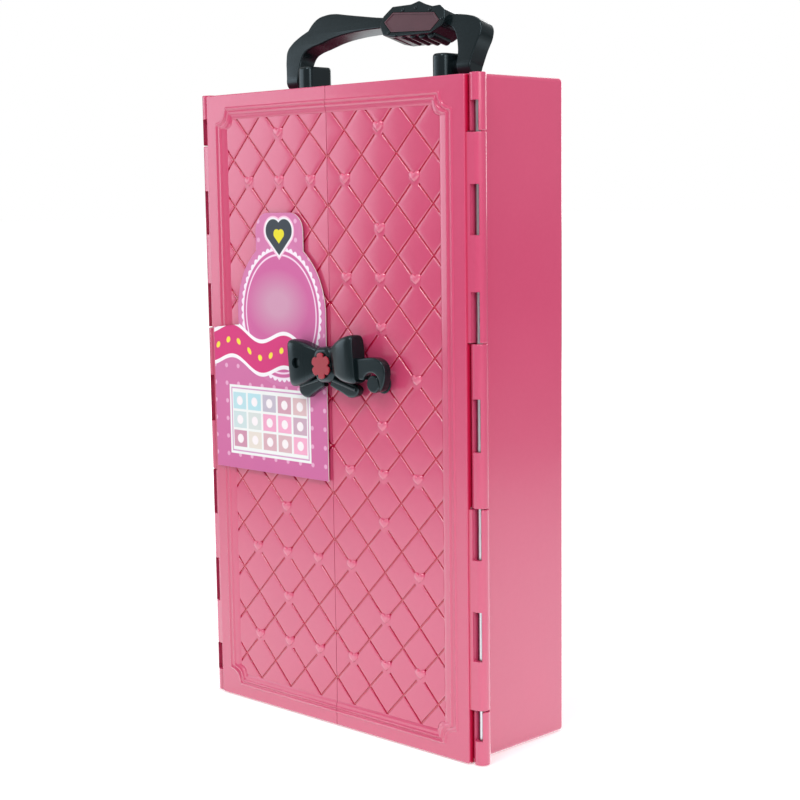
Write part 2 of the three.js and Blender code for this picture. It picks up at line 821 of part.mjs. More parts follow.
function plateOutline(grow) {
  const halfLength = gripHalfLength * plateShare + grow;
  const halfHeight = gripHalfHeight * plateShare + grow;
  const corner = halfHeight * plateShare;
  const outline = [
    [-halfLength, 0],
    [-halfLength + corner, halfHeight],
    [halfLength - corner, halfHeight],
    [halfLength, 0],
    [halfLength - corner, -halfHeight],
    [-halfLength + corner, -halfHeight],
  ];
  return moved(rotated(outline, -gripTurnDegrees), gripX, gripZ);
}

function handlePlate() {
  const back = -handleThickness / 2 - gripProud + plateRecess;
  return prism('xz', plateOutline(0), back - plateThickness, back);
}

function handleBoss(side) {
  const bottom = caseHeight + seat;
  const outline = roundedRectangle(
    bossInner, bossOuter, handlePivotY - bossDepth / 2, handlePivotY + bossDepth / 2, bossCorner,
  );
  const pivot = [handlePivotY, handlePivotZ];
  const body = cappedPrism('xy', outline, bottom, bottom + bossHeight, bossEdge);
  const collar = bar('x', collarRadius, bossOuter - bossCorner, legInner - seat, pivot, barrelSides);
  const bore = bar('x', pivotPinRadius + seat, bossOuter - pivotPinReach, legInner + overrun, pivot);
  let solid = body.add(solidOf(collar)).subtract(solidOf(bore));
  for (const [x, y] of screwPlaces().filter((place) => place[0] > 0)) {
    const hole = bar('z', screwRadius + seat, bottom - overrun, bottom + screwLength + seat, [x, y]);
    solid = solid.subtract(solidOf(hole));
  }
  const geometry = geometryOf(solid);
  return side > 0 ? geometry : mirrored(geometry);
}

function handlePivotPin(side) {
  const from = bossOuter - pivotPinReach + seat;
  const to = legInner + pivotPinReach;
  const centre = [handlePivotY, handlePivotZ];
  return side > 0 ? bar('x', pivotPinRadius, from, to, centre) : bar('x', pivotPinRadius, -to, -from, centre);
}

function bossScrew(place) {
  const headTop = caseCeiling - seat;
  const tip = caseHeight + seat + screwLength;
  return geometryOf(unite([
    bar('z', screwHeadRadius, headTop - screwHeadHeight, headTop, place),
    bar('z', screwRadius, headTop - screwHeadHeight / 2, tip, place),
  ]));
}

// Bow clasp

function bowLoop(side) {
  const lengthShares = [0, 0.18, 0.42, 0.68, 0.88, 1];
  const heightShares = [0.58, 0.66, 0.8, 0.93, 1, 0.9];
  const depthShares = [0.6, 0.72, 0.88, 1, 0.98, 0.72];
  const rings = lengthShares.map((share, i) => {
    const x = bowX + side * (knotHalfWidth / 2 + (loopLength + knotHalfWidth / 2) * share);
    const halfHeight = loopHalfHeight * heightShares[i];
    const halfDepth = (loopDepth * depthShares[i]) / 2;
    return Array.from({ length: loopSteps }, (_, j) => {
      const turn = (2 * Math.PI * (j + 0.5)) / loopSteps;
      const [c, s] = [Math.cos(turn), Math.sin(turn)];
      const y = claspBack - halfDepth + Math.sign(c) * Math.sqrt(Math.abs(c)) * halfDepth;
      return new THREE.Vector3(x, y, bowZ + Math.sign(s) * Math.sqrt(Math.abs(s)) * halfHeight);
    });
  });
  return loft(rings);
}

function bowTail(side) {
  const shares = [[-0.5, 0], [0.5, 0], [1, -0.88], [0.55, -1], [-0.55, -1], [-1, -0.88]];
  const outline = rotated(scaled(shares, tailHalfWidth, tailLength), side * tailTurnDegrees);
  const placed = moved(outline, bowX, bowZ - knotHalfHeight / 2);
  return prism('xz', placed, claspBack - tailDepth, claspBack, hookRounding);
}

function bowKnot() {
  const outline = roundedRectangle(
    bowX - knotHalfWidth, bowX + knotHalfWidth,
    bowZ - knotHalfHeight, bowZ + knotHalfHeight, 2 * knotRounding,
  );
  return cappedPrism('xz', outline, claspBack, claspBack - knotDepth, knotRounding);
}

function tilted(geometry) {
  const turn = THREE.MathUtils.degToRad(-bowTiltDegrees);
  return geometry.translate(-bowX, 0, -bowZ).rotateY(turn).translate(bowX, 0, bowZ);
}

function claspHook() {
  const innerRadius = pegRadius + hookClearance;
  const outerRadius = innerRadius + hookArmWidth;
  const rootX = bowX + knotHalfWidth + loopLength * hookRootShare;
  const outline = [
    [rootX, pegZ + outerRadius],
    ...arcPoints(pegX, pegZ, outerRadius, outerRadius, 90, hookEndDegrees, hookSteps),
    ...arcPoints(pegX, pegZ, innerRadius, innerRadius, hookEndDegrees, hookMouthDegrees, hookSteps),
    [rootX, pegZ + innerRadius * Math.sin(THREE.MathUtils.degToRad(hookMouthDegrees))],
  ];
  const back = doorFront + fieldDepth - seat - pegReach + hookEngagement;
  return prism('xz', outline, back - hookThickness, back, hookRounding);
}

function bowClasp() {
  const loops = [-1, 1].map((side) => solidOf(tilted(bowLoop(side))));
  const tails = [-1, 1].map((side) => solidOf(tilted(bowTail(side))));
  const knot = solidOf(tilted(geometryOf(bowKnot())));
  const whole = [...loops, ...tails, knot, solidOf(claspHook())].reduce((sum, piece) => sum.add(piece));
  const centre = [claspPinX, claspPinZ];
  const bore = bar('y', claspPinRadius + seat, claspBack - 2 * loopDepth, claspBack + overrun, centre);
  const seatDepth = claspBack - claspPinHeadDepth + claspPinHeadThickness + seat;
  const headBore = bar('y', claspPinHeadRadius + seat, claspBack - 2 * loopDepth, seatDepth, centre);
  return geometryOf(whole.subtract(solidOf(bore)).subtract(solidOf(headBore)));
}

function claspFlower() {
  const steps = flowerPetals * petalSteps;
  const outline = Array.from({ length: steps }, (_, i) => {
    const turn = (2 * Math.PI * i) / steps;
    const radius = flowerRadius * (1 + flowerPetalShare * Math.cos(flowerPetals * turn));
    return [bowX + radius * Math.cos(turn), bowZ + radius * Math.sin(turn)];
  });
  const back = claspBack - knotDepth - seat;
  return tilted(prism('xz', outline, back - flowerThickness, back));
}

function claspPivotPin() {
  const headFront = claspBack - claspPinHeadDepth;
  const clipFront = plateBack + seat;
  return turned([
    [0, headFront],
    [claspPinHeadRadius, headFront],
    [claspPinHeadRadius, headFront + claspPinHeadThickness],
    [claspPinRadius, headFront + claspPinHeadThickness],
    [claspPinRadius, clipFront],
    [claspPinHeadRadius, clipFront],
    [claspPinHeadRadius, clipFront + claspPinClip],
    [0, clipFront + claspPinClip],
  ], claspPinX, claspPinZ, smallSides);
}

function catchPeg() {
  const foot = fieldFront - seat;
  const tip = foot - pegReach;
  const clipFront = plateBack + seat;
  return turned([
    [0, tip],
    [pegRadius - pegEdge, tip],
    [pegRadius, tip + pegEdge],
    [pegRadius, foot - pegFlangeThickness],
    [pegFlangeRadius, foot - pegFlangeThickness],
    [pegFlangeRadius, foot],
    [pegStemRadius, foot],
    [pegStemRadius, clipFront],
    [pegClipRadius, clipFront],
    [pegClipRadius, clipFront + claspPinClip],
    [0, clipFront + claspPinClip],
  ], pegX, pegZ);
}

// Label card: a printed board with an oval head and a hanging tab, held under the clasp

function labelCard() {
  const lower = [
    [cardLeft, cardBottom],
    [cardRight, cardBottom],
    [cardRight, cardOvalZ],
    [cardLeft, cardShoulder],
  ];
  const head = oval(cardOvalX, cardOvalZ, cardOvalHalfWidth, cardOvalHalfHeight);
  const tab = roundedRectangle(
    cardOvalX - cardTabHalfWidth, cardOvalX + cardTabHalfWidth,
    cardOvalZ, cardTabTop, cardTabRadius,
  );
  const cardFront = cardBack - cardThickness;
  const sheets = [lower, head, tab].map((outline) => prism('xz', outline, cardFront, cardBack));
  const centre = [claspPinX, claspPinZ];
  const hole = bar('y', claspPinRadius + seat, cardFront - overrun, cardBack + overrun, centre);
  return geometryOf(unite(sheets).subtract(solidOf(hole)));
}

// Assembly

function part(name, geometry, finish) {
  const mesh = new THREE.Mesh(geometry, new THREE.MeshStandardMaterial(finish));
  mesh.name = name;
  return mesh;
}

const trunk = new THREE.Group();

trunk.add(part('case_shell', caseShell(), pink));
trunk.add(part('left_hinge_pin', hingePin(-1), steel));
trunk.add(part('right_hinge_pin', hingePin(1), steel));

trunk.add(part('cubby_divider', cubbyDivider(), pink));
for (let number = 1; number < cubbyCount; number += 1) {
  trunk.add(part(`cubby_shelf_${number}`, cubbyShelf(number), pink));
}
shoeShelfHeights.forEach((height, i) => {
  trunk.add(part(`shoe_shelf_${i + 1}`, shoeShelf(height), pink));
});
const railLeft = dividerX + partition / 2 + seat;
const railRight = caseInside - seat;
trunk.add(part('rail_socket_left', railSocket(railLeft, railLeft + railSocketLength), pink));
trunk.add(part('rail_socket_right', railSocket(railRight - railSocketLength, railRight), pink));
const rail = bar('x', railRadius, railLeft, railRight, [railDepth, railHeight], barrelSides);
trunk.add(part('clothes_rail', rail, black));

trunk.add(part('left_door', leftDoor(), pink));
trunk.add(part('left_door_hook_strip', hookStrip(), pink));
trunk.add(part('right_door', rightDoor(), pink));
trayHeights.forEach((height, i) => {
  trunk.add(part(`left_door_tray_${i + 1}`, mirrored(doorTray(height)), pink));
  trunk.add(part(`right_door_tray_${i + 1}`, doorTray(height), pink));
});
trunk.add(part('mirror_frame', mirrorFrame(), pink));
trunk.add(part('mirror_glass', mirrorGlass(), mirrorSilver));

trunk.add(part('handle_boss_left', handleBoss(-1), black));
trunk.add(part('handle_boss_right', handleBoss(1), black));
trunk.add(part('handle_pivot_pin_left', handlePivotPin(-1), black));
trunk.add(part('handle_pivot_pin_right', handlePivotPin(1), black));
screwPlaces().forEach((place, i) => {
  trunk.add(part(`boss_screw_${i + 1}`, bossScrew(place), steel));
});

const handle = new THREE.Group();
handle.add(part('handle_grip', handleGrip(), black));
handle.add(part('handle_plate', handlePlate(), plum));
handle.rotation.x = THREE.MathUtils.degToRad(-handleLeanDegrees);
handle.position.set(0, handlePivotY, handlePivotZ);
trunk.add(handle);

trunk.add(part('bow_clasp', bowClasp(), black));
trunk.add(part('clasp_flower', claspFlower(), coral));
trunk.add(part('clasp_pivot_pin', claspPivotPin(), black));
trunk.add(part('catch_peg', catchPeg(), black));
trunk.add(part('label_card', labelCard(), printedCard));

export default trunk;
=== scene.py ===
"""Doll wardrobe trunk: a pink moulded case with two quilted doors, a folding handle and a bow clasp.

Metres. The doors face -Y and +Z is up; the origin is the centre of the case's bottom.
"""
import math
from contextlib import contextmanager

import bmesh
import bpy
from mathutils import Matrix, Vector


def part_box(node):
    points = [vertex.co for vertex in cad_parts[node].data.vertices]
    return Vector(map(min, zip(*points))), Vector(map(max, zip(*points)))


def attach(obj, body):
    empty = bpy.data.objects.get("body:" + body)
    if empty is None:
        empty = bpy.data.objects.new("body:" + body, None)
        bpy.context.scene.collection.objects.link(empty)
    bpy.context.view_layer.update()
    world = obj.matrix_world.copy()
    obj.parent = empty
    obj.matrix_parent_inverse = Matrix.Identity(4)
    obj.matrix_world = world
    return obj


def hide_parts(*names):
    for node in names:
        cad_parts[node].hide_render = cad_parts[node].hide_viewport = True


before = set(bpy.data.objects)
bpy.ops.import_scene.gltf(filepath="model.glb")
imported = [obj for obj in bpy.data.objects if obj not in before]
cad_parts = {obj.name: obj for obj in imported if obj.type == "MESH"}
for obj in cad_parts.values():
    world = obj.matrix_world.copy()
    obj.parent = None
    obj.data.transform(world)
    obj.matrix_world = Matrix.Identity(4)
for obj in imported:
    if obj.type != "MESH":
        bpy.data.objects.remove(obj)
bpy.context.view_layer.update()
mm = 0.001


# Camera
# The photograph looks down a little from the right of the front, so both doors and the right side show.
# It was taken with a long lens, and its frame lies up and to the right of the lens's axis.
camera_turn = math.radians(45.35)
camera_dip = math.radians(8.04)
camera_roll = math.radians(-0.92)
camera_place = Vector((0.5800, -0.5798, 0.2523))

bpy.ops.object.camera_add()
camera = bpy.context.object
camera.name = "photo_camera"
camera.data.lens = 75.66
camera.data.shift_x = 0.034
camera.data.shift_y = 0.0524
camera.data.clip_start = 0.01
camera.matrix_world = (
    Matrix.Translation(camera_place)
    @ Matrix.Rotation(camera_turn, 4, "Z")
    @ Matrix.Rotation(math.pi / 2 - camera_dip, 4, "X")
    @ Matrix.Rotation(camera_roll, 4, "Z")
)
bpy.context.scene.camera = camera
bpy.context.scene.view_settings.view_transform = "Standard"


# Shader sums
# A finish is one material with its nodes. Its sums are written as Python expressions on the sockets,
# and every other node comes from its node method.
class Wire:
    """An output socket of a finish, on which sums can be written."""

    def __init__(self, tree, socket):
        self.tree = tree
        self.socket = socket

    def calculate(self, operation, *values):
        node = self.tree.nodes.new("ShaderNodeMath")
        node.operation = operation
        for entry, value in zip(node.inputs, values):
            if isinstance(value, Wire):
                self.tree.links.new(value.socket, entry)
            else:
                entry.default_value = value
        return Wire(self.tree, node.outputs[0])

    def __add__(self, other):
        return self.calculate("ADD", self, other)

    def __radd__(self, other):
        return self.calculate("ADD", other, self)

    def __sub__(self, other):
        return self.calculate("SUBTRACT", self, other)

    def __rsub__(self, other):
        return self.calculate("SUBTRACT", other, self)

    def __mul__(self, other):
        return self.calculate("MULTIPLY", self, other)

    def __rmul__(self, other):
        return self.calculate("MULTIPLY", other, self)

    def __truediv__(self, other):
        return self.calculate("DIVIDE", self, other)

    def __abs__(self):
        return self.calculate("ABSOLUTE", self)

    def wave(self):
        return self.calculate("SINE", self)

    def root(self):
        return self.calculate("SQRT", self)

    def least(self, other):
        return self.calculate("MINIMUM", self, other)

    def most(self, other):
        return self.calculate("MAXIMUM", self, other)

    def below(self, limit, softness):
        """1 where the value lies below the limit, 0 above it, with a soft step between."""
        return ((limit - self) / softness + 0.5).most(0.0).least(1.0)

    def repeated(self, pitch):
        """The distance from the middle of the nearest of many places, one in every pitch."""
        return self.calculate("PINGPONG", self, pitch / 2)


class Finish:
    """A procedural material, built node by node. A colour is three numbers or a wire."""

    def __init__(self, name):
        self.name = name
        self.material = bpy.data.materials.new(name)
        self.material.use_nodes = True
        self.tree = self.material.node_tree
        self.tree.nodes.clear()

    def node(self, kind, settings=None, values=None, output=0):
        made = self.tree.nodes.new(kind)
        for name, setting in (settings or {}).items():
            if name == "stops":
                ramp = made.color_ramp
                while len(ramp.elements) < len(setting):
                    ramp.elements.new(0.5)
                for element, (place, colour) in zip(ramp.elements, setting):
                    element.position = place
                    element.color = (*colour, 1)
            else:
                setattr(made, name, setting)
        for name, value in (values or {}).items():
            if isinstance(value, Wire):
                self.tree.links.new(value.socket, made.inputs[name])
            else:
                made.inputs[name].default_value = value
        return Wire(self.tree, made.outputs[output]) if made.outputs else None

    def place(self):
        return self.node("ShaderNodeTexCoord", output="Object")

    def axes(self, point):
        """The x, y and z of a point, as three wires."""
        split = self.node("ShaderNodeSeparateXYZ", values={"Vector": point})
        return [Wire(self.tree, output) for output in split.socket.node.outputs]

    def noise(self, point, scale, detail=2.0):
        values = {"Vector": point, "Scale": scale, "Detail": detail}
        return self.node("ShaderNodeTexNoise", values=values)

    def mixed(self, share, *colours):
        """The first of two colours where the share is 0, and the second where it is 1."""
        first, second = (
            colour if isinstance(colour, Wire) else (*colour, 1) for colour in colours
        )
        return self.node(
            "ShaderNodeMix", {"data_type": "RGBA", "clamp_factor": True},
            {"Factor": share, 6: first, 7: second}, output=2,
        )

    def bump(self, height, distance, strength):
        return self.node(
            "ShaderNodeBump", values={"Height": height, "Distance": distance, "Strength": strength},
        )

    def end(self, values):
        shader = self.node("ShaderNodeBsdfPrincipled", values=values)
        self.node("ShaderNodeOutputMaterial", values={"Surface": shader})


# Studio
# A white paper sweep without an edge, lit by soft boxes at the left, at the right, above the camera,
# overhead and behind. The floor keeps the shadow. Its glow is painted light: to the camera it glows less
# near the trunk than far off, and in reflections it glows brighter near the trunk, like over-lit paper.
paper = Finish("white_paper")
paper_place = paper.place()
paper_x, paper_y = paper.axes(paper_place)[:2]
seen = paper.node("ShaderNodeLightPath", output="Is Camera Ray")
mirrored = paper.node("ShaderNodeLightPath", output="Is Glossy Ray")
away_squared = paper_x * paper_x + paper_y * paper_y
# Painted light: the floor's glow is weaker near the trunk for the camera, and stronger there in
# reflections.
glow = paper.mixed(away_squared.below(0.25, 0.45), (0.34, 0.34, 0.34), (0.14, 0.14, 0.14))
glow = paper.mixed(seen, (0, 0, 0), glow)
glow = paper.mixed(mirrored * away_squared.below(0.45, 1.2), glow, (0.72, 0.78, 0.8))
grain = paper.noise(paper_place, 900.0)
paper.end({
    "Base Color": paper.mixed(grain, (0.9, 0.9, 0.9), (0.93, 0.93, 0.93)),
    "Roughness": 0.8,
    "Specular IOR Level": 0.0,
    "Emission Color": glow,
    "Emission Strength": 2.5,
})
bpy.ops.mesh.primitive_plane_add(size=60, location=(0, 0, -0.0002))
floor = bpy.context.object
floor.name = "studio_floor"
floor.data.materials.append(paper.material)

world = bpy.data.worlds.new("white_room")
bpy.context.scene.world = world
world.use_nodes = True
room = world.node_tree
room.nodes.clear()
path = room.nodes.new("ShaderNodeLightPath")
seen, passed, mirrored = (
    Wire(room, path.outputs[f"Is {kind} Ray"]) for kind in ("Camera", "Transmission", "Glossy")
)
diffuse_level = 0.34
glossy_level = 0.60
strength = diffuse_level + seen.most(passed) * (1 - diffuse_level)
strength = strength + mirrored * (glossy_level - diffuse_level)
background = room.nodes.new("ShaderNodeBackground")
background.inputs["Color"].default_value = (1, 1, 1, 1)
room.links.new(strength.socket, background.inputs["Strength"])
room.links.new(background.outputs[0], room.nodes.new("ShaderNodeOutputWorld").inputs["Surface"])

trunk_middle = Vector((0, 0, 0.16))


def soft_box(name, place, width, height, power, colour=(1, 1, 1)):
    """A soft rectangular lamp that shines on the middle of the trunk."""
    bpy.ops.object.light_add(type="AREA", location=place)
    lamp = bpy.context.object
    lamp.name = name
    lamp.data.shape = "RECTANGLE"
    lamp.data.size = width
    lamp.data.size_y = height
    lamp.data.energy = power
    lamp.data.color = colour
    lamp.rotation_euler = (trunk_middle - Vector(place)).to_track_quat("-Z", "Y").to_euler()


soft_box("left_soft_box", (-1.45, -0.85, 0.5), 0.9, 0.9, 6.8, (0.82, 0.92, 1.0))
soft_box("right_soft_box", (1.5, -0.5, 0.9), 0.9, 1.1, 13.2)
soft_box("key_soft_box", (0.25, -1.2, 1.6), 0.7, 0.6, 12.5)
soft_box("top_soft_box", (0.0, -0.1, 1.6), 1.2, 1.0, 4.0)
soft_box("back_soft_box", (-0.3, 1.7, 0.7), 1.4, 1.0, 15.0)


# Pink plastic
# Case, doors, shelves and trays are moulded in one opaque pink plastic with a satin gloss. Its colour
# drifts a little. The hearts' fronts get a lighter pink as painted highlight. The quilting's grooves
# and the gaps beside the hinges get a deep crimson as painted shade, for the tinted light that reaches
# into them.
pink = Finish("pink_plastic")
pink_place = pink.place()
pink_x, pink_y, pink_z = pink.axes(pink_place)
groove_front = -33.64 * mm
groove_bottom = -33.1 * mm
heart_front = -34.3 * mm


def within(value, middle, reach, softness):
    """1 where a value lies within reach of the middle, and 0 further off. The rest is in millimetres."""
    return abs(value - middle * mm).below(reach * mm, softness * mm)


melt = pink.noise(pink_place, 14.0, detail=3.0)
speckle = pink.noise(pink_place, 420.0)
wear = pink.noise(pink_place, 60.0, detail=4.0)
# Painted shade: the grooves and the gaps beside the hinges are coloured a deep crimson.
groove_shade_mask = (pink_y * -1.0).below(-groove_front, 0.06 * mm) * pink_y.below(groove_bottom, 0.02 * mm)
groove_shade_mask = groove_shade_mask * within(pink_x, 0, 74, 0.2)
hinge_gap_shade_mask = within(abs(pink_x), 87.0, 0.5, 0.3) * within(pink_y, -31.6, 2.0, 0.8)
# Painted highlight: the fronts of the hearts are mixed towards a lighter pink.
heart_highlight_mask = pink_y.below(heart_front, 0.2 * mm) * within(pink_x, 0, 70, 0.5)
heart_highlight_mask = heart_highlight_mask * within(pink_z, 153.8, 139, 0.5)
pink_colour = pink.mixed(melt, (0.570, 0.054, 0.142), (0.620, 0.070, 0.168))
pink_colour = pink.mixed(speckle * 0.2, pink_colour, (0.66, 0.09, 0.20))
pink_colour = pink.mixed(heart_highlight_mask * 0.3, pink_colour, (0.85, 0.24, 0.36))
pink.end({
    "Base Color": pink.mixed(groove_shade_mask.most(hinge_gap_shade_mask) * 0.9, pink_colour, (0.52, 0.002, 0.045)),
    "Roughness": 0.13 + wear * 0.07,
    "IOR": 1.6,
    "Normal": pink.bump(pink.noise(pink_place, 42.0, detail=1.0), 0.0002, 0.5),
})


# Case tray
# One deep moulding in the pink plastic, open to the front, with 2 mm walls. Its outer edges are rounded
# by the mould, and its rim has a light break of the edge.
wall = 2.0 * mm
case_side = 85.9 * mm
case_front = -25.0 * mm
case_back, case_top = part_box("case_shell")[1].yz
case_rounding = 2.0 * mm
bottom_rounding = 1.0 * mm
rim_break = 0.35 * mm
near = 0.1 * mm


def hold(piece):
    """Makes the piece the only chosen and active object."""
    bpy.ops.object.select_all(action="DESELECT")
    piece.select_set(True)
    bpy.context.view_layer.objects.active = piece


@contextmanager
def editing(piece):
    """Edit mode on the piece for the lines inside, and object mode after them."""
    hold(piece)
    bpy.ops.object.mode_set(mode="EDIT")
    yield
    bpy.ops.object.mode_set(mode="OBJECT")


def pick(piece, kind, test):
    """Selects, in edit mode, the vertices, edges or faces whose middle and direction pass the test."""
    bpy.ops.mesh.select_mode(type=kind)
    bpy.ops.mesh.select_all(action="DESELECT")
    mesh = bmesh.from_edit_mesh(piece.data)
    if kind == "VERT":
        for vertex in mesh.verts:
            vertex.select = not vertex.hide and test(vertex.co, vertex.normal)
    elif kind == "EDGE":
        for edge in mesh.edges:
            start, end = edge.verts[0].co, edge.verts[1].co
            edge.select_set(not edge.hide and test((start + end) / 2, (end - start).normalized()))
    else:
        for face in mesh.faces:
            face.select_set(not face.hide and test(face.calc_center_median(), face.normal))
    mesh.select_flush_mode()
    bmesh.update_edit_mesh(piece.data)


def to_front(place, normal):
    return normal.y < -0.9


def extrude(x, y, z):
    bpy.ops.mesh.extrude_region_move(TRANSFORM_OT_translate={"value": (x, y, z)})


def sink(piece, test, border, *move):
    """Moves, in edit mode, the faces that pass the test, and leaves a border round them."""
    pick(piece, "FACE", test)
    bpy.ops.mesh.inset(thickness=border)
    extrude(*move)


def round_rim(piece, test, width, segments):
    """Rounds, in edit mode, the edges round the faces that pass the test."""
    pick(piece, "FACE", test)
    bpy.ops.mesh.region_to_loop()
    bpy.ops.mesh.bevel(offset=width, segments=segments)


def settle(name):
    """Names the object just added, and moves its place, turn and scale into its mesh."""
    piece = bpy.context.object
    piece.name = name
    bpy.ops.object.transform_apply()
    return piece


def cuboid(name, low, high):
    """A block between two corners, to be cut and shaped further."""
    low, high = Vector(low), Vector(high)
    bpy.ops.mesh.primitive_cube_add(size=1, location=(low + high) / 2, scale=high - low)
    return settle(name)


tray = cuboid("case_tray", (-case_side, case_front, 0), (case_side, case_back, case_top))
with editing(tray):
    sink(tray, to_front, wall, 0, case_back - wall - case_front, 0)
    pick(tray, "EDGE", lambda place, way: place.y > case_back - near or (
        abs(way.y) > 0.9 and abs(place.x) > case_side - near))
    bpy.ops.mesh.bevel(offset=case_rounding, segments=4)
    pick(tray, "EDGE", lambda place, way: case_front + wall / 2 < place.y < case_back - wall + near and (
        abs(place.x) < case_side - wall + near and wall - near < place.z < case_top - wall + near))
    bpy.ops.mesh.bevel(offset=bottom_rounding, segments=3)
    round_rim(tray, lambda place, normal: place.y < case_front + near / 10, rim_break, 2)


# Hinge knuckles
# Five barrels stand in a column beside each door, three of them moulded with the case and two with the
# door. Each has slot windows at the front, where the mould's core came out, which show the wire pin.
hinge_x = 90.27 * mm
hinge_y = -29.32 * mm
barrel_radius = 3.73 * mm
pin_radius = 1.3 * mm
pin_play = 0.3 * mm
knuckle_gap = 0.5 * mm
pin_cover = 1.5 * mm
knuckle_levels = [0, 25.4 * mm, 117.8 * mm, 191.3 * mm, 282.8 * mm, case_top]
window_levels = [
    [(11.4 * mm, 25.4 * mm)],
    [(48.4 * mm, 71.1 * mm), (94.6 * mm, 117.8 * mm)],
    [(143.2 * mm, 166.9 * mm)],
    [(191.3 * mm, 213.8 * mm), (238.4 * mm, 260.3 * mm)],
    [(282.8 * mm, 296.0 * mm)],
]
window_inner = 1.5 * mm
window_outer = 2.65 * mm
window_floor = 0.4 * mm
beyond = 5 * mm


def modify(piece, kind, **settings):
    """Applies a modifier to the piece."""
    hold(piece)
    change = piece.modifiers.new("change", kind)
    for name, value in settings.items():
        setattr(change, name, value)
    bpy.ops.object.modifier_apply(modifier=change.name)
    return piece


def combine(piece, tools, operation):
    """Joins, cuts or clips the piece with closed tools, which are used up."""
    for tool in tools:
        modify(piece, "BOOLEAN", operation=operation, solver="MANIFOLD", object=tool)
        bpy.data.objects.remove(tool)
    return piece


def join(piece, *tools):
    return combine(piece, tools, "UNION")


def cut(piece, *tools):
    return combine(piece, tools, "DIFFERENCE")


def ease_edges(piece, width, segments=2, angle=30):
    """Breaks the sharp edges of a moulding."""
    return modify(
        piece, "BEVEL", width=width, segments=segments, limit_method="ANGLE",
        angle_limit=math.radians(angle), miter_outer="MITER_ARC",
    )


def rod(name, axis, radius, start, end, sides=32, edge=0.0):
    """A round bar along an axis, from one level to another, with its end edges rounded if asked."""
    way, place = axis
    index = "xyz".index(way)
    middle = Vector(place)
    middle[index] = (start + end) / 2
    turns = {"x": (0, math.pi / 2, 0), "y": (math.pi / 2, 0, 0), "z": (0, 0, 0)}
    bpy.ops.mesh.primitive_cylinder_add(
        vertices=sides, radius=radius, depth=end - start, location=middle, rotation=turns[way],
    )
    piece = settle(name)
    if edge:
        with editing(piece):
            pick(piece, "EDGE", lambda place, way: abs(way[index]) < 0.5)
            bpy.ops.mesh.bevel(offset=edge, segments=3)
    return piece


def drill(piece, axis, radius, start, end, sides=32):
    return cut(piece, rod("hole", axis, radius, start, end, sides))


def knuckle(number, low, high, make_web):
    """One barrel with the web that carries it, cut by its windows and bored for the pin."""
    start = max(low, knuckle_levels[number] + knuckle_gap / 2)
    end = min(high, knuckle_levels[number + 1] - knuckle_gap / 2)
    hinge = ("z", (hinge_x, hinge_y, 0))
    barrel = join(rod("barrel", hinge, barrel_radius, start, end, edge=0.4 * mm), make_web(start, end))
    for bottom, top in window_levels[number]:
        if bottom == knuckle_levels[number]:
            bottom = start - beyond
        if top == knuckle_levels[number + 1]:
            top = end + beyond
        cut(barrel, cuboid(
            "window", (hinge_x - window_inner, hinge_y - 2 * barrel_radius, bottom),
            (hinge_x + window_outer, hinge_y - window_floor, top),
        ))
    return drill(barrel, hinge, pin_radius + pin_play, -beyond, case_top - pin_cover)


def case_web(start, end):
    """The root of a case knuckle: a block across the rim, whose back slopes on to the side wall."""
    web = cuboid(
        "web", (case_side - wall + 0.5 * mm, hinge_y + 1.0 * mm, start),
        (hinge_x, hinge_y + barrel_radius, end),
    )
    with editing(web):
        pick(web, "VERT", lambda place, normal: (
            place.x < hinge_x - 1 * mm and place.y > hinge_y + 2 * mm))
        bpy.ops.transform.translate(value=(0, 1.6 * mm, 0))
    return ease_edges(web, 0.3 * mm)


def copy_of(piece, move=Matrix()):
    """A copy with a mesh of its own, moved in that mesh."""
    twin = piece.copy()
    twin.data = piece.data.copy()
    bpy.context.collection.objects.link(twin)
    twin.data.transform(move)
    return twin


def mirror(piece):
    """Turns the piece into its mirror image on the other side of the trunk."""
    piece.data.transform(Matrix.Scale(-1, 4, (1, 0, 0)))
    piece.data.flip_normals()
    return piece


case_knuckles = [knuckle(number, 0, case_top, case_web) for number in (0, 2, 4)]
join(tray, *case_knuckles, *[mirror(copy_of(piece)) for piece in case_knuckles])


# Holes for the boss screws
# The case's top is pierced twice under each boss of the handle, where the screws are driven up from
# inside. One hole lies in front of the handle's pivot line, and one behind it.
screw_x = 45.5 * mm
screw_rows = (-2.6 * mm, 6.4 * mm)
screw_hole = 1.5 * mm


def polish(piece, finish, body, node):
    """Smooths the shading, gives the finish, says what the piece rides on, and hides the part it
    replaces.
    """
    hold(piece)
    bpy.ops.object.shade_smooth_by_angle(angle=math.radians(32))
    modify(piece, "WEIGHTED_NORMAL", keep_sharp=True)
    piece.data.materials.clear()
    piece.data.materials.append(finish.material)
    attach(piece, body)
    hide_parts(node)


for side in (-1, 1):
    for row in screw_rows:
        place = (side * screw_x, row, 0)
        drill(tray, ("z", place), screw_hole, case_top - 3 * mm, case_top + 1 * mm, sides=20)
polish(tray, pink, "case", "case_shell")


# Hinge pins
# A length of bright drawn steel wire stands in each row of knuckles, from the foot to just below the
# top. It is pushed in from below and only shows through the windows.
steel = Finish("steel_wire")
steel_x, steel_y, steel_z = steel.axes(steel.place())
drawn = steel.noise(steel.node("ShaderNodeCombineXYZ", values={
    "X": steel_x * 6.0, "Y": steel_y * 6.0, "Z": steel_z * 0.2,
}), 900.0)
steel.end({
    "Base Color": steel.mixed(drawn, (0.30, 0.30, 0.31), (0.46, 0.46, 0.48)),
    "Metallic": 1.0,
    "Roughness": 0.22 + drawn * 0.14,
    "Normal": steel.bump(drawn, 0.00005, 0.4),
})
pin_foot = 0.3 * mm
pin_top = case_top - pin_cover - pin_play

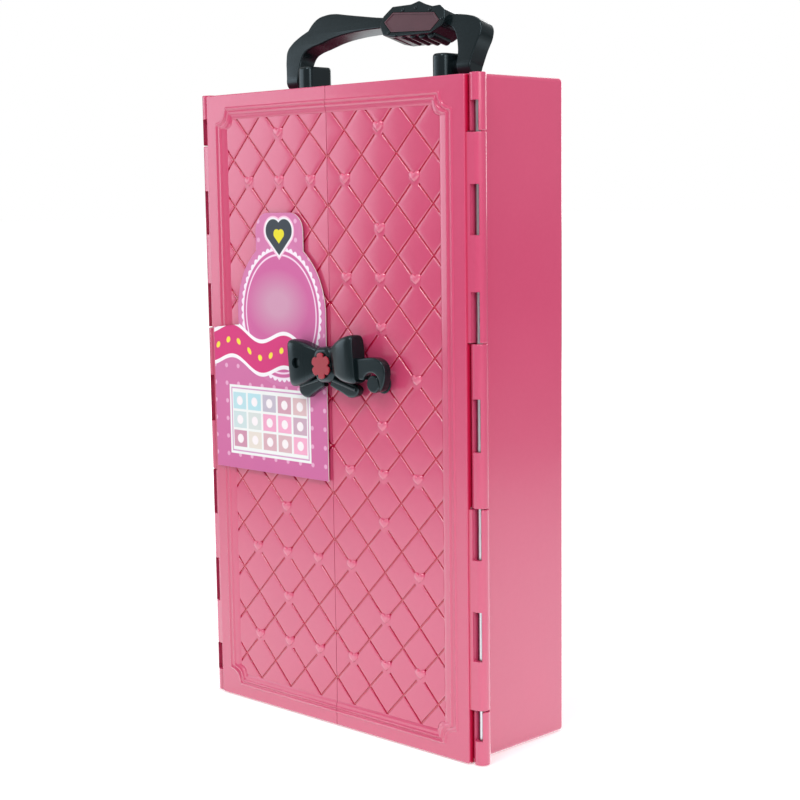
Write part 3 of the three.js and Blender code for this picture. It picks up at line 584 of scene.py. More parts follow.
for side, name in ((-1, "left"), (1, "right")):
    axis = ("z", (side * hinge_x, hinge_y, 0))
    pin = rod(f"{name}_wire_pin", axis, pin_radius, pin_foot, pin_top, edge=0.4 * mm)
    polish(pin, steel, "case", f"{name}_hinge_pin")


# Partitions, shelves and rail sockets
# An upright divider makes a column of five cubbies at the left, and two low shelves for shoes cross the
# right. They are thin pink mouldings with a lip in front. Two sockets carry the clothes rail's ends.
partition = 1.6 * mm


def to_back(place, normal):
    return normal.y > 0.9


def lipped_shelf(node):
    """A shelf whose front edge turns up into a low lip, with its edges softened."""
    low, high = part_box(node)
    shelf = cuboid(f"{node}_moulding", low, (high.x, high.y, low.z + partition))
    with editing(shelf):
        bpy.ops.mesh.select_all(action="SELECT")
        bpy.ops.mesh.bisect(plane_co=(0, low.y + partition, 0), plane_no=(0, 1, 0))
        pick(shelf, "FACE", lambda place, normal: normal.z > 0.9 and place.y < low.y + partition)
        extrude(0, 0, high.z - low.z - partition)
    polish(ease_edges(shelf, 0.45 * mm, segments=3), pink, "case", node)


for number in (1, 2, 3, 4):
    lipped_shelf(f"cubby_shelf_{number}")
for number in (1, 2):
    lipped_shelf(f"shoe_shelf_{number}")

divider = cuboid("cubby_wall", *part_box("cubby_divider"))
with editing(divider):
    round_rim(divider, to_front, 0.6 * mm, 4)
    round_rim(divider, to_back, 0.25 * mm, 2)
polish(divider, pink, "case", "cubby_divider")

rail_radius = 2.2 * mm
rail_low, rail_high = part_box("clothes_rail")
rail_axis = ("x", (rail_low + rail_high) / 2)
for side in ("left", "right"):
    low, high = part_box(f"rail_socket_{side}")
    socket = rod(f"{side}_rail_cup", rail_axis, (high.z - low.z) / 2, low.x, high.x, edge=0.6 * mm)
    drill(socket, rail_axis, rail_radius + 0.3 * mm, low.x - 1 * mm, high.x + 1 * mm)
    polish(socket, pink, "case", f"rail_socket_{side}")


# Doors
# Each door is one pink moulding: a plate with low walls behind it. Two notched ridges run round the
# pair, and inside them the surface dips to a quilted field of diamond pads, with small raised hearts.
door_front = -34.5 * mm
door_edge = 86.8 * mm
door_bottom = 0.4 * mm
door_top = 307.2 * mm
door_middle = (door_bottom + door_top) / 2
door_seam = 0.15 * mm
plate_thickness = 2.2 * mm
plate_back = door_front + plate_thickness
plate_corner = 1.0 * mm
edge_rounding = 0.5 * mm
ridge_height = 0.6 * mm
ridge_side = [(0.95, 0.0), (0.66, 0.14), (0.42, 0.4), (0.16, 0.58)]
ridge_section = ridge_side + [(-across, rise) for across, rise in reversed(ridge_side)]
ridges = [(7.4 * mm, 6.9 * mm, 7.4 * mm), (10.3 * mm, 8.95 * mm, 6.7 * mm)]
dip_slope = [(0.32, 0.08), (0.62, 0.32), (0.85, 0.7), (1.0, 1.0)]
field_side = 15.0 * mm
field_end = 12.3 * mm
field_notch = 4.4 * mm
field_depth = 0.6 * mm
groove_depth = 0.6 * mm
field_front = door_front + field_depth
notch_profile = 0.07
notch_rounding = 1.0 * mm


def close_up():
    """Merges, in edit mode, the points that meet, and turns the faces outwards."""
    bpy.ops.mesh.select_all(action="SELECT")
    bpy.ops.mesh.remove_doubles(threshold=0.002 * mm)
    bpy.ops.mesh.normals_make_consistent(inside=False)


def add_outline(piece, side, end, depth, corner, notched):
    """Adds, in edit mode, an outline of the pair of doors, set in from their edges at a depth."""
    half_width, half_height = door_edge - side, (door_top - door_bottom) / 2 - end
    middle = Vector((0, door_front + depth, door_middle))
    bpy.ops.mesh.primitive_plane_add(size=2, location=middle, rotation=(math.pi / 2, 0, 0))
    bpy.ops.transform.resize(value=(half_width, 1, half_height), center_override=middle)
    if not notched:
        bpy.ops.mesh.bevel(offset=corner, affect="VERTICES", segments=4)
        return
    bpy.ops.mesh.bevel(offset=corner, affect="VERTICES", segments=8, profile=notch_profile)
    level = 0.001 * mm
    pick(piece, "VERT", lambda place, normal: abs(place.y - middle.y) < level and (
        abs(abs(place.x) - half_width) < level or abs(abs(place.z - middle.z) - half_height) < level))
    bpy.ops.mesh.bevel(offset=notch_rounding, affect="VERTICES", segments=3)


def skin(name, outlines):
    """A closed shell over a row of outlines, each joined to the next and the ends filled."""
    bpy.ops.mesh.primitive_plane_add(size=1)
    piece = settle(name)
    with editing(piece):
        bpy.ops.mesh.delete(type="VERT")
        for outer, inner in zip(outlines, outlines[1:]):
            add_outline(piece, *outer)
            add_outline(piece, *inner)
            bpy.ops.mesh.select_all(action="SELECT")
            bpy.ops.mesh.delete(type="ONLY_FACE")
            bpy.ops.mesh.select_all(action="SELECT")
            bpy.ops.mesh.bridge_edge_loops()
            bpy.ops.mesh.hide()
        bpy.ops.mesh.reveal()
        close_up()
        bpy.ops.mesh.fill_holes(sides=0)
        close_up()
        bpy.ops.mesh.bisect(
            plane_co=(door_seam, 0, 0), plane_no=(1, 0, 0), use_fill=True, clear_inner=True,
        )
    return piece


outlines = [(0, 0, plate_thickness, plate_corner, False)]
for step in range(4):
    turn = math.pi / 2 * step / 3
    inset = edge_rounding * (1 - math.cos(turn))
    outlines.append((inset, inset, edge_rounding * (1 - math.sin(turn)), plate_corner, False))
for side, end, notch in ridges:
    for across, rise in ridge_section:
        outlines.append((side - across * mm, end - across * mm, -rise * mm, notch, True))
dip_side, dip_end, dip_notch = ridges[1][0] + 1 * mm, ridges[1][1] + 1 * mm, ridges[1][2]
for share, fall in dip_slope:
    outlines.append((
        dip_side + (field_side - dip_side) * share, dip_end + (field_end - dip_end) * share,
        field_depth * fall, dip_notch + (field_notch - dip_notch) * share, True,
    ))
outlines.append((field_side, field_end, field_depth + groove_depth, field_notch, True))
door = skin("right_quilted_door", outlines)


# Quilting
# The pads are low diamonds with soft rims, a little domed, that stand on the bottom of the grooves. The
# lattice has the same pitch over the whole door, and the field's outline cuts the outer pads.
lattice_wide = 22.3 * mm
lattice_tall = 22.8 * mm
lattice_x = 11.74 * mm
lattice_z = 12.84 * mm
groove_width = 0.85 * mm
pad_steps = [(0.08, 0.09), (0.20, 0.18), (0.30, 0.06), (1.6, 0.06), (3.0, 0.06)]
pad_rise = groove_depth - 0.27 * mm
sunk = 0.1 * mm
pad_base = field_front + groove_depth + sunk


def crossing(column, row):
    """The place of one crossing of the lattice."""
    return Vector((lattice_x + column * lattice_wide, 0, lattice_z + row * lattice_tall))


def gathered(pieces):
    """Several objects joined to one."""
    hold(pieces[0])
    for piece in pieces:
        piece.select_set(True)
    bpy.ops.object.join()
    return pieces[0]


bpy.ops.mesh.primitive_circle_add(
    vertices=4, radius=1, fill_type="NGON", location=(0, pad_base, 0), rotation=(math.pi / 2, 0, 0),
)
pad = settle("quilt_pad")
pad_share = (1 - groove_width * math.hypot(1 / lattice_wide, 1 / lattice_tall)) / 2
with editing(pad):
    bpy.ops.mesh.select_all(action="SELECT")
    bpy.ops.transform.resize(
        value=(lattice_wide * pad_share, 1, lattice_tall * pad_share), center_override=(0, pad_base, 0),
    )
    extrude(0, -pad_rise - sunk, 0)
    bpy.ops.mesh.normals_make_consistent(inside=False)
    pick(pad, "FACE", lambda place, normal: place.y < pad_base - pad_rise)
    for inward, upward in pad_steps:
        bpy.ops.mesh.inset(thickness=inward * mm, depth=upward * mm)
    close_up()

pads = gathered([
    copy_of(pad, Matrix.Translation(crossing(column + across, row + up)))
    for column in range(-1, 4) for row in range(-1, 14) for across, up in ((0.5, 0), (0, 0.5))
])
tight = 0.03 * mm
field = skin("field", [
    (field_side - tight, field_end - tight, depth, field_notch, True)
    for depth in (field_depth + groove_depth + sunk / 2, -ridge_height)
])
join(door, combine(pads, [field], "INTERSECT"))


# Hearts
# A puffy heart, moulded with the door, stands on many crossings of the lattice, where the grooves stop.
# Every other row has one in its middle column, and the rows between have one in each column, but on
# the right door the middle one is missing in every fourth row, level with the peg.
heart_places = [(1, row) for row in range(2, 13, 2)]
heart_places += [(column, row) for row in range(1, 12, 2) for column in (0, 2)]
heart_places += [(1, row) for row in (1, 5, 9)]
left_heart_places = [(1, row) for row in (3, 7, 11)]
heart_outline = [
    (0, 1.3), (1.75, 2.3), (3.3, 1.0), (2.3, -0.95), (0, -2.6), (-2.3, -0.95), (-3.3, 1.0), (-1.75, 2.3),
]
heart_rings = [(0.92, 0.24), (0.86, 0.36), (0.82, 0.18), (0.66, 0.08), (0.4, 0.03)]
heart_foot = 0.55 * mm
heart_rise = Vector((0, 0, 0.9 * mm))
patch_scale = 0.48


def from_curve(name, points, settings, corners=(), closed=False, turn=0.0):
    """A closed mesh from a smooth curve through the points, with corners at some of them."""
    curve = bpy.data.curves.new(name, "CURVE")
    for setting, value in settings.items():
        setattr(curve, setting, value)
    spline = curve.splines.new("BEZIER")
    spline.bezier_points.add(len(points) - 1)
    for number, point in enumerate(points):
        knot = spline.bezier_points[number]
        knot.co = point
        knot.handle_left_type = knot.handle_right_type = "VECTOR" if number in corners else "AUTO"
    spline.use_cyclic_u = closed
    piece = bpy.data.objects.new(name, curve)
    bpy.context.collection.objects.link(piece)
    piece.rotation_euler.x = turn
    hold(piece)
    bpy.ops.object.convert(target="MESH")
    bpy.ops.object.transform_apply()
    with editing(piece):
        close_up()
    return piece


def flat_part(name, points, thickness, rounding=0.0, corners=(), steps=6, level=0.0):
    """A plate with rounded rims, whose outline, seen from the front, has its points in millimetres."""
    piece = from_curve(name, [(x * mm, z * mm, 0) for x, z in points], {
        "dimensions": "2D", "fill_mode": "BOTH", "resolution_u": steps, "offset": -rounding,
        "extrude": thickness / 2 - rounding, "bevel_depth": rounding, "bevel_resolution": 2,
    }, corners, closed=True, turn=math.pi / 2)
    piece.data.transform(Matrix.Translation((0, level, 0)))
    return piece


heart = flat_part("heart", heart_outline, heart_foot, corners=(0, 4), steps=4, level=field_front + sunk)
with editing(heart):
    pick(heart, "FACE", to_front)
    for shrink, rise in heart_rings:
        extrude(0, -rise * mm, 0)
        bpy.ops.transform.resize(value=(shrink, 1, shrink), center_override=(0, 0, 0))


def add_hearts(piece, places):
    """Closes the grooves round the places of the lattice, and sets a heart on each."""
    smaller = Matrix.Diagonal((patch_scale, 1, patch_scale, 1))
    nodes = [crossing(*place) for place in places]
    join(piece, gathered([copy_of(pad, Matrix.Translation(node) @ smaller) for node in nodes]))
    join(piece, gathered([copy_of(heart, Matrix.Translation(node + heart_rise)) for node in nodes]))


add_hearts(door, heart_places)


# Walls and knuckles of the doors
# A low wall runs round the back of each plate and closes on the case's rim. Two knuckles grow out of
# the plate's outer edge, which a lip thickens beside the case's knuckles. The left door mirrors the
# right one, apart from its hearts.
door_back = -25.3 * mm
rim_outer = 83.5 * mm
rim_thickness = 1.75 * mm
rim_set_in = 0.15 * mm
lip_back = -31.1 * mm

rim = cuboid(
    "rim", (door_seam + rim_set_in, plate_back - 0.5 * mm, door_bottom + rim_set_in),
    (rim_outer, door_back, door_top - rim_set_in),
)
with editing(rim):
    sink(rim, to_back, rim_thickness, 0, plate_back - door_back, 0)
    round_rim(rim, lambda place, normal: normal.y > 0.9 and place.y > door_back - near, 0.3 * mm, 2)
join(door, rim)


def door_web(start, end):
    """The root of a door knuckle: a tapering flange from the plate's edge on to the barrel."""
    front, back = door_front + 0.7 * mm, plate_back - 0.2 * mm
    web = cuboid("web", (door_edge - 1.2 * mm, front, start), (hinge_x, back, end))
    with editing(web):
        pick(web, "VERT", lambda place, normal: place.x > door_edge and place.y < front + near)
        bpy.ops.transform.translate(value=(0, 0.75 * mm, 0))
        pick(web, "VERT", lambda place, normal: place.x > door_edge and place.y > back - near)
        bpy.ops.transform.translate(value=(0, hinge_y - back, 0))
    return ease_edges(web, 0.2 * mm)


for number in (0, 2, 4):
    start = max(door_bottom, knuckle_levels[number] + knuckle_gap / 2) + rim_set_in
    end = min(door_top, knuckle_levels[number + 1] - knuckle_gap / 2) - rim_set_in
    lip_low = (door_edge - 1.8 * mm, plate_back - 0.6 * mm, start)
    join(door, cuboid("lip", lip_low, (door_edge - 0.08 * mm, lip_back, end)))
for number in (1, 3):
    join(door, knuckle(number, door_bottom, door_top, door_web))
left = copy_of(door)
left.name = "left_quilted_door"
add_hearts(left, left_heart_places)
bpy.data.objects.remove(pad)
bpy.data.objects.remove(heart)
mirror(left)

peg_middle = (35.6, 170.74)
peg_axis = ("y", (peg_middle[0] * mm, 0, peg_middle[1] * mm))
pin_axis = ("y", (-12.2 * mm, 0, 178.24 * mm))
pin_hole = 1.8 * mm
for piece, axis, radius in ((door, peg_axis, 1.9 * mm), (left, pin_axis, pin_hole)):
    drill(piece, axis, radius, door_front - 2 * mm, plate_back + 1 * mm, sides=20)
polish(door, pink, "right_door", "right_door")
polish(left, pink, "left_door", "left_door")


# Trays, hooks and mirror in the doors
# Each door carries two open pink trays low down. The left one has a strip of five hooks above them,
# and the right one an oval mirror of silvered film in a moulded frame.
bin_wall = 1.4 * mm
hook_wire = 1.2 * mm


def to_top(place, normal):
    return normal.z > 0.9


for side in ("left", "right"):
    for number in (1, 2):
        low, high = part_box(f"{side}_door_tray_{number}")
        piece = cuboid(f"{side}_bin_{number}", low, high)
        with editing(piece):
            sink(piece, to_top, bin_wall, 0, 0, low.z + bin_wall - high.z)
        ease_edges(piece, 0.55 * mm, segments=3)
        polish(piece, pink, f"{side}_door", f"{side}_door_tray_{number}")

low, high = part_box("left_door_hook_strip")
strip = cuboid("row_of_hooks", low, (high.x, low.y + partition, high.z))
ease_edges(strip, 0.45 * mm, segments=3)
level = (low.z + high.z) / 2
tip = high.y - 2.2 * hook_wire
for number in range(5):
    across = low.x + (high.x - low.x) * (number + 0.5) / 5
    join(strip, from_curve("hook", [
        (across, low.y + 1.0 * mm, level), (across, tip - 1.6 * mm, level),
        (across, tip, level + 1.4 * mm), (across, tip, level + 3 * mm),
    ], {
        "dimensions": "3D", "resolution_u": 5, "bevel_depth": hook_wire, "bevel_resolution": 3,
        "use_fill_caps": True,
    }))
polish(strip, pink, "left_door", "left_door_hook_strip")


def oval_points(node, set_in=0.0):
    """Points, in millimetres, on an upright oval inside a solid of the frame, set in from its edge."""
    low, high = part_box(node)
    middle, half = (low + high) / 2, (high - low) / 2
    turns = [2 * math.pi * number / 16 for number in range(16)]
    return [(
        (middle.x + (half.x - set_in) * math.cos(turn)) / mm,
        (middle.z + (half.z - set_in) * math.sin(turn)) / mm,
    ) for turn in turns]


def oval_plate(name, node, rounding):
    """An upright oval plate that fills a solid of the frame."""
    low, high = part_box(node)
    level = (low.y + high.y) / 2
    return flat_part(name, oval_points(node), high.y - low.y, rounding, steps=8, level=level)


surround = oval_plate("mirror_surround", "mirror_frame", 0.9 * mm)
pocket_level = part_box("mirror_frame")[0].y + 2.8 * mm
pocket = flat_part("pocket", oval_points("mirror_frame", 4 * mm), 4 * mm, steps=8, level=pocket_level)
polish(cut(surround, pocket), pink, "right_door", "mirror_frame")

silver = Finish("mirror_film")
film = silver.noise(silver.place(), 35.0, detail=1.0)
silver.end({
    "Base Color": silver.mixed(film, (0.44, 0.45, 0.46), (0.48, 0.49, 0.50)),
    "Metallic": 1.0,
    "Roughness": 0.03 + film * 0.03,
    "Normal": silver.bump(film, 0.0001, 0.15),
})
glass = oval_plate("mirror_plate", "mirror_glass", 0.2 * mm)
polish(glass, silver, "right_door", "mirror_glass")


# Black plastic and clothes rail
# The handle, its bosses, the bow clasp, the catch peg and the clothes rail are moulded in one black
# plastic, with a soft gloss and a slightly green cast. The rail's rounded ends sit in two sockets.
black = Finish("black_plastic")
black_place = black.place()
flow = black.noise(black_place, 22.0, detail=3.0)
fleck = black.noise(black_place, 500.0)
black.end({
    "Base Color": black.mixed(flow, (0.003, 0.007, 0.008), (0.007, 0.012, 0.014)),
    "Roughness": 0.15 + flow * 0.1,
    "IOR": 1.38,
    "Specular Tint": (0.74, 0.92, 1.0, 1.0),
    "Normal": black.bump(black.noise(black_place, 70.0) + fleck * 0.15, 0.0001, 0.5),
})
hanging_rod = rod("hanging_rod", rail_axis, rail_radius, rail_low.x, rail_high.x, edge=0.5 * mm)
polish(hanging_rod, black, "case", "clothes_rail")


# Handle bosses
# A black block with rounded corners is screwed to the case's top at each side. A collar on its outer
# face carries the handle's foot, on a short pin.
handle_pivot = Vector((0, 1.9 * mm, 314 * mm))
pivot_bore = 1.9 * mm
leg_inner = 53.27 * mm
boss_span = (41.0 * mm, 50.0 * mm)
boss_half_depth = 8.75 * mm
boss_levels = (308.3 * mm, 320.2 * mm)
boss_corner = 3.4 * mm
boss_crown = 1.6 * mm
collar_radius = 3.6 * mm

for name in ("left", "right"):
    boss = cuboid(
        f"{name}_boss", (boss_span[0], handle_pivot.y - boss_half_depth, boss_levels[0]),
        (boss_span[1], handle_pivot.y + boss_half_depth, boss_levels[1]),
    )
    with editing(boss):
        pick(boss, "EDGE", lambda place, way: abs(way.z) > 0.9)
        bpy.ops.mesh.bevel(offset=boss_corner, segments=5)
        round_rim(boss, to_top, boss_crown, 4)
    axis, start = ("x", handle_pivot), boss_span[1]
    join(boss, rod("collar", axis, collar_radius, start - 2 * mm, leg_inner - 0.3 * mm, edge=0.3 * mm))
    drill(boss, axis, pivot_bore, start - 6.5 * mm, leg_inner + 1 * mm)
    for row in screw_rows:
        foot, head = boss_levels[0] - 1 * mm, boss_levels[0] + 3.6 * mm
        drill(boss, ("z", (screw_x, row, 0)), screw_hole, foot, head, sides=20)
    if name == "left":
        mirror(boss)
    polish(boss, black, "case", f"handle_boss_{name}")


# Boss screws and pivot pins
# Two cross-head steel screws hold each boss from inside the case. A black plastic pin goes through the
# boss's collar into the handle's foot, and the handle turns on it.
screw_head = 1.6 * mm
shank_radius = 1.2 * mm
cross_reach = 1.4 * mm
cross_width = 0.28 * mm

for number in (1, 2, 3, 4):
    low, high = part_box(f"boss_screw_{number}")
    axis = ("z", (low + high) / 2)
    head_radius = (high.x - low.x) / 2
    head_top, shank_start = low.z + screw_head, low.z + screw_head / 2
    screw = rod(f"cross_head_screw_{number}", axis, head_radius, low.z, head_top, edge=0.45 * mm)
    join(screw, rod("shank", axis, shank_radius, shank_start, high.z, sides=24, edge=0.3 * mm))
    foot = Vector((axis[1].x, axis[1].y, low.z))
    for x, y in ((cross_reach, cross_width), (cross_width, cross_reach)):
        cut(screw, cuboid("slot", foot + Vector((-x, -y, -1 * mm)), foot + Vector((x, y, 0.7 * mm))))
    polish(screw, steel, "case", f"boss_screw_{number}")
for side in ("left", "right"):
    low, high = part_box(f"handle_pivot_pin_{side}")
    axis = ("x", (low + high) / 2)
    pin = rod(f"{side}_pivot_rod", axis, (high.z - low.z) / 2, low.x, high.x, edge=0.35 * mm)
    polish(pin, black, "case", f"handle_pivot_pin_{side}")


# Handle
# One black moulding: a flat arch with a hump at the left, and a thicker ribbed grip right of the
# middle. The feet are rounded about the pivot line, and the whole leans back a little.
handle_lean = math.radians(-13.8)
handle_place = Matrix.Translation(handle_pivot) @ Matrix.Rotation(handle_lean, 4, "X")
handle_thickness = 9.5 * mm
arch_outline = [
    (-61.9, 0), (-62.7, 3.1), (-64.4, 9.7), (-64.6, 14.7), (-62.0, 18.2), (-57.2, 21.4), (-51.4, 24.1),
    (-49.5, 26.8), (-46.1, 29.6), (-40.8, 31.0), (-34.2, 31.2), (-25.9, 30.0), (-17.5, 28.7),
    (2.9, 25.9), (25.9, 24.5), (45.4, 23.9), (51.8, 23.2), (56.5, 22.4), (61.2, 21.0), (64.5, 18.6),
    (65.5, 15.0), (63.3, 6.6), (61.8, 0), (53.3, 0), (53.3, 4.4), (52.2, 9.2), (50.9, 12.5),
    (48.1, 16.5), (42.8, 19.0), (25.9, 20.6), (0, 21.0), (-10.4, 20.9), (-21.4, 20.3), (-31.8, 18.9),
    (-41.5, 16.4), (-48.3, 14.6), (-51.3, 12.9), (-52.8, 10.0), (-53.3, 5.0), (-53.3, 0),
]
arch_corners = (0, 6, 22, 23, 39)
grip_middle = (24.0, 22.0)
grip_turn = math.radians(-4.5)
grip_outline = [
    (-21.2, -2.6), (-20.0, 1.8), (-15.2, 6.4), (-3.0, 7.4), (1.6, 9.0), (5.6, 7.6), (11.0, 6.4),
    (15.6, 7.0), (19.6, 4.6), (20.8, 0.6), (19.4, -3.0), (13.6, -6.4), (-11.1, -8.2), (-17.6, -7.4),
]
plate_outline = [(-18.4, -1.2), (-13.8, 3.5), (13.2, 3.4), (17.4, -0.2), (13.0, -5.2), (-12.4, -5.9)]
grip_thickness = 15.5 * mm
grip_front = -grip_thickness / 2
rib_radius = 2.5 * mm
rib_half = 6.1 * mm
rib_pitch = 5.9
rib_drop = 6.0
pocket_depth = 1.2 * mm
bead_places = [(17.0, 27.2), (25.1, 27.6), (34.5, 26.0), (9.6, 17.0), (14.6, 15.4), (43.0, 21.0)]


def on_grip(points):
    """Points of a plane, in millimetres, turned with the grip and moved to its middle."""
    cosine, sine = math.cos(grip_turn), math.sin(grip_turn)
    return [
        (grip_middle[0] + x * cosine - z * sine, grip_middle[1] + x * sine + z * cosine)
        for x, z in points
    ]


handle = flat_part("carrying_handle", arch_outline, handle_thickness, 0.7 * mm, arch_corners)
pivot_line = ("x", (0, 0, 0))
for side in (-1, 1):
    low, high = sorted((side * leg_inner, side * 61.85 * mm))
    join(handle, rod("foot", pivot_line, handle_thickness / 2, low, high, edge=0.7 * mm))
grip = flat_part("grip", on_grip(grip_outline), grip_thickness, corners=range(len(grip_outline)))
join(handle, ease_edges(grip, 0.9 * mm, segments=3, angle=14))
for number in range(-2, 3):
    along = number * rib_pitch
    x, z = grip_middle[0] + along, grip_middle[1] - rib_drop + along * math.tan(grip_turn)
    axis = ("y", (x * mm, 0, z * mm))
    join(handle, rod("rib", axis, rib_radius, -rib_half, rib_half, edge=0.8 * mm))
pocket_outline = on_grip([(x * 1.02, z * 1.05) for x, z in plate_outline])
pocket_level = grip_front + pocket_depth - 2 * mm
cut(handle, flat_part("pocket", pocket_outline, 4 * mm, corners=range(6), level=pocket_level))
for side in (-1, 1):
    low, high = sorted((side * (leg_inner - 1 * mm), side * (leg_inner + 6.8 * mm)))
    drill(handle, pivot_line, pivot_bore, low, high, sides=24)
for x, z in bead_places:
    crown = grip_front - 0.5 * mm
    axis = ("y", (x * mm, 0, z * mm))
    join(handle, rod("bead", axis, 0.95 * mm, crown, crown + 1.5 * mm, sides=20, edge=0.45 * mm))
handle.data.transform(handle_place)
polish(handle, black, "handle", "handle_grip")


# Handle plate
# A blank six-sided plate with a raised border. It is moulded by itself and pressed into a shallow pocket
# in the front of the grip. Its dark plum colour is painted reflection of the pink case in a glossy
# front.
# Painted reflection: the dark plum stands for the pink case mirrored in the grip's glossy front.
plum_reflection = Finish("plum_plastic")
cloud = plum_reflection.noise(plum_reflection.place(), 60.0, detail=3.0)
plum_reflection.end({
    "Base Color": plum_reflection.mixed(cloud, (0.058, 0.018, 0.028), (0.085, 0.026, 0.038)),
    "Roughness": 0.3 + cloud * 0.12,
    "Normal": plum_reflection.bump(cloud, 0.0001, 0.3),
})
plate = flat_part("blank_plate", on_grip(plate_outline), 1.0 * mm, corners=range(6))
with editing(plate):
    sink(plate, to_front, 0.8 * mm, 0, 0.3 * mm, 0)
ease_edges(plate, 0.12 * mm)
plate.data.transform(handle_place @ Matrix.Translation((0, grip_front + 0.4 * mm, 0)))
polish(plate, plum_reflection, "handle", "handle_plate")


# Bow clasp
# A glossy black bow: two puffed loops with flat outer ends, a knot, two ribbon tails, and a hook that
# grows out of the right loop and drops over the peg. It turns on the pin in its left loop.
clasp_back = -36.3 * mm
bow_middle = Vector((3.6 * mm, 0, 179.7 * mm))
bow_tilt = Matrix.Rotation(-math.radians(5.2), 4, "Y")
loop_stations = [
    (0.0, 0.50, 0.60), (0.20, 0.61, 0.75), (0.45, 0.84, 0.92), (0.70, 0.96, 1.0), (0.88, 1.0, 0.99),
    (0.96, 0.98, 0.94), (1.0, 0.93, 0.87),
]
loop_start = 3 * mm
loop_length = 19.2 * mm
loop_half_height = 11.5 * mm
loop_depth = 9.4 * mm
knot_low = (-6.9 * mm, -6.8 * mm, -10.3 * mm)
knot_high = (6.5 * mm, 0, 6.8 * mm)
left_tail = [
    (0.5, 172.5), (-7.0, 169.9), (-14.2, 167.9), (-16.0, 165.4), (-11.2, 161.3), (-6.0, 163.7),
    (1.5, 167.6),
]
left_fold = [(-1.0, 171.7), (-13.9, 167.6), (-14.9, 165.7), (-1.2, 169.8)]
right_tail = [
    (7.5, 172.9), (16.0, 170.7), (23.9, 168.6), (24.9, 166.8), (20.5, 163.3), (13.0, 165.4),
    (5.5, 167.9),
]
right_fold = [(8.0, 172.2), (23.2, 168.3), (23.9, 166.4), (8.2, 170.2)]
hook_back = -38.2 * mm
hook_thickness = 4.6 * mm
hook_inner = 5.4
hook_outside = [
    (20.3, 182.4), (29.0, 182.3), (35.0, 183.1), (39.4, 182.7), (42.8, 180.8), (44.4, 177.6),
    (44.3, 174.2), (43.4, 170.9), (42.4, 169.0), (41.3, 167.9),
]


def bow_loop(name, side):
    """One loop: a rounded section drawn out from the knot, widening, with a softly rounded outer end."""
    bpy.ops.mesh.primitive_plane_add(size=2, rotation=(0, math.pi / 2, 0))
    loop = settle(name)
    with editing(loop):
        bpy.ops.mesh.select_all(action="SELECT")
        high, deep = loop_stations[0][1:]
        bpy.ops.transform.translate(value=(side * loop_start, -1, 0))
        bpy.ops.transform.resize(
            value=(1, deep * loop_depth / 2, high * loop_half_height), center_override=(0, 0, 0))
        bpy.ops.mesh.bevel(offset=1.6 * mm, affect="VERTICES", segments=3)
        for before, after in zip(loop_stations, loop_stations[1:]):
            reached = loop_start + loop_length * before[0] - 0.01 * mm
            pick(loop, "FACE", lambda place, normal: (
                side * place.x > reached and abs(normal.x) > 0.7))
            extrude(side * loop_length * (after[0] - before[0]), 0, 0)
            bpy.ops.transform.resize(
                value=(1, after[2] / before[2], after[1] / before[1]), center_override=(0, 0, 0))
        bpy.ops.mesh.inset(thickness=0.7 * mm)
        close_up()
    return modify(loop, "SUBSURF", levels=2)


def bow_tail(ribbon, fold):
    """One tail: a ribbon that widens to its end, with a raised fold along its upper side."""
    ends = (0, len(ribbon) - 1)
    tail = flat_part("tail", ribbon, 4.2 * mm, 0.9 * mm, ends, level=clasp_back - 2.1 * mm)
    return join(tail, flat_part("fold", fold, 2.4 * mm, 0.6 * mm, range(4), level=clasp_back - 4.0 * mm))


knot = cuboid("knot", knot_low, knot_high)
with editing(knot):
    pick(knot, "EDGE", lambda place, way: abs(way.y) > 0.9)
    bpy.ops.mesh.bevel(offset=5.0 * mm, segments=7)
    round_rim(knot, to_front, 2.5 * mm, 5)
bow = join(bow_loop("black_bow", -1), bow_loop("loop", 1), knot)
bow.data.transform(Matrix.Translation(bow_middle + Vector((0, clasp_back, 0))) @ bow_tilt)
join(bow, bow_tail(left_tail, left_fold), bow_tail(right_tail, right_fold))

hook_inside = [
    (peg_middle[0] + hook_inner * math.cos(turn), peg_middle[1] + hook_inner * math.sin(turn))
    for turn in map(math.radians, (-25, 0, 30, 60, 90, 120, 145, 162))
]
hook_points = hook_outside + hook_inside + [(hook_outside[0][0], peg_middle[1] + 1.9)]
hook_end = len(hook_outside) - 1
hook_corners = (0, 1, hook_end, hook_end + 1, len(hook_points) - 2, len(hook_points) - 1)
hook_level = hook_back - hook_thickness / 2
join(bow, flat_part("hook", hook_points, hook_thickness, 0.7 * mm, hook_corners, level=hook_level))
drill(bow, pin_axis, pin_hole, -60 * mm, clasp_back + 1 * mm, sides=24)
drill(bow, pin_axis, 2.5 * mm, -60 * mm, clasp_back - 5.9 * mm, sides=24)
polish(bow, black, "clasp", "bow_clasp")


# Clasp flower
# A small flower with six petals, moulded by itself in coral red plastic and pressed on to the front of
# the knot. It tilts with the bow.
coral = Finish("coral_plastic")
coral_place = coral.place()
tint = coral.noise(coral_place, 90.0)
coral.end({
    "Base Color": coral.mixed(tint, (0.29, 0.010, 0.024), (0.35, 0.016, 0.032)),
    "Roughness": 0.34 + tint * 0.1,
    "Normal": coral.bump(coral.noise(coral_place, 300.0), 0.00008, 0.4),
})
petal_points = []
for number in range(36):
    turn = 2 * math.pi * number / 36
    reach = 4.5 + 1.7 * math.sqrt(abs(math.sin(3 * turn)))
    petal_points.append((reach * math.cos(turn), reach * math.sin(turn)))
flower = flat_part("coral_flower", petal_points, 1.0 * mm, 0.25 * mm)
flower_place = bow_middle + Vector((0, clasp_back - 7.6 * mm, -2.1 * mm))
flower.data.transform(Matrix.Translation(flower_place) @ bow_tilt)
polish(flower, coral, "clasp", "clasp_flower")


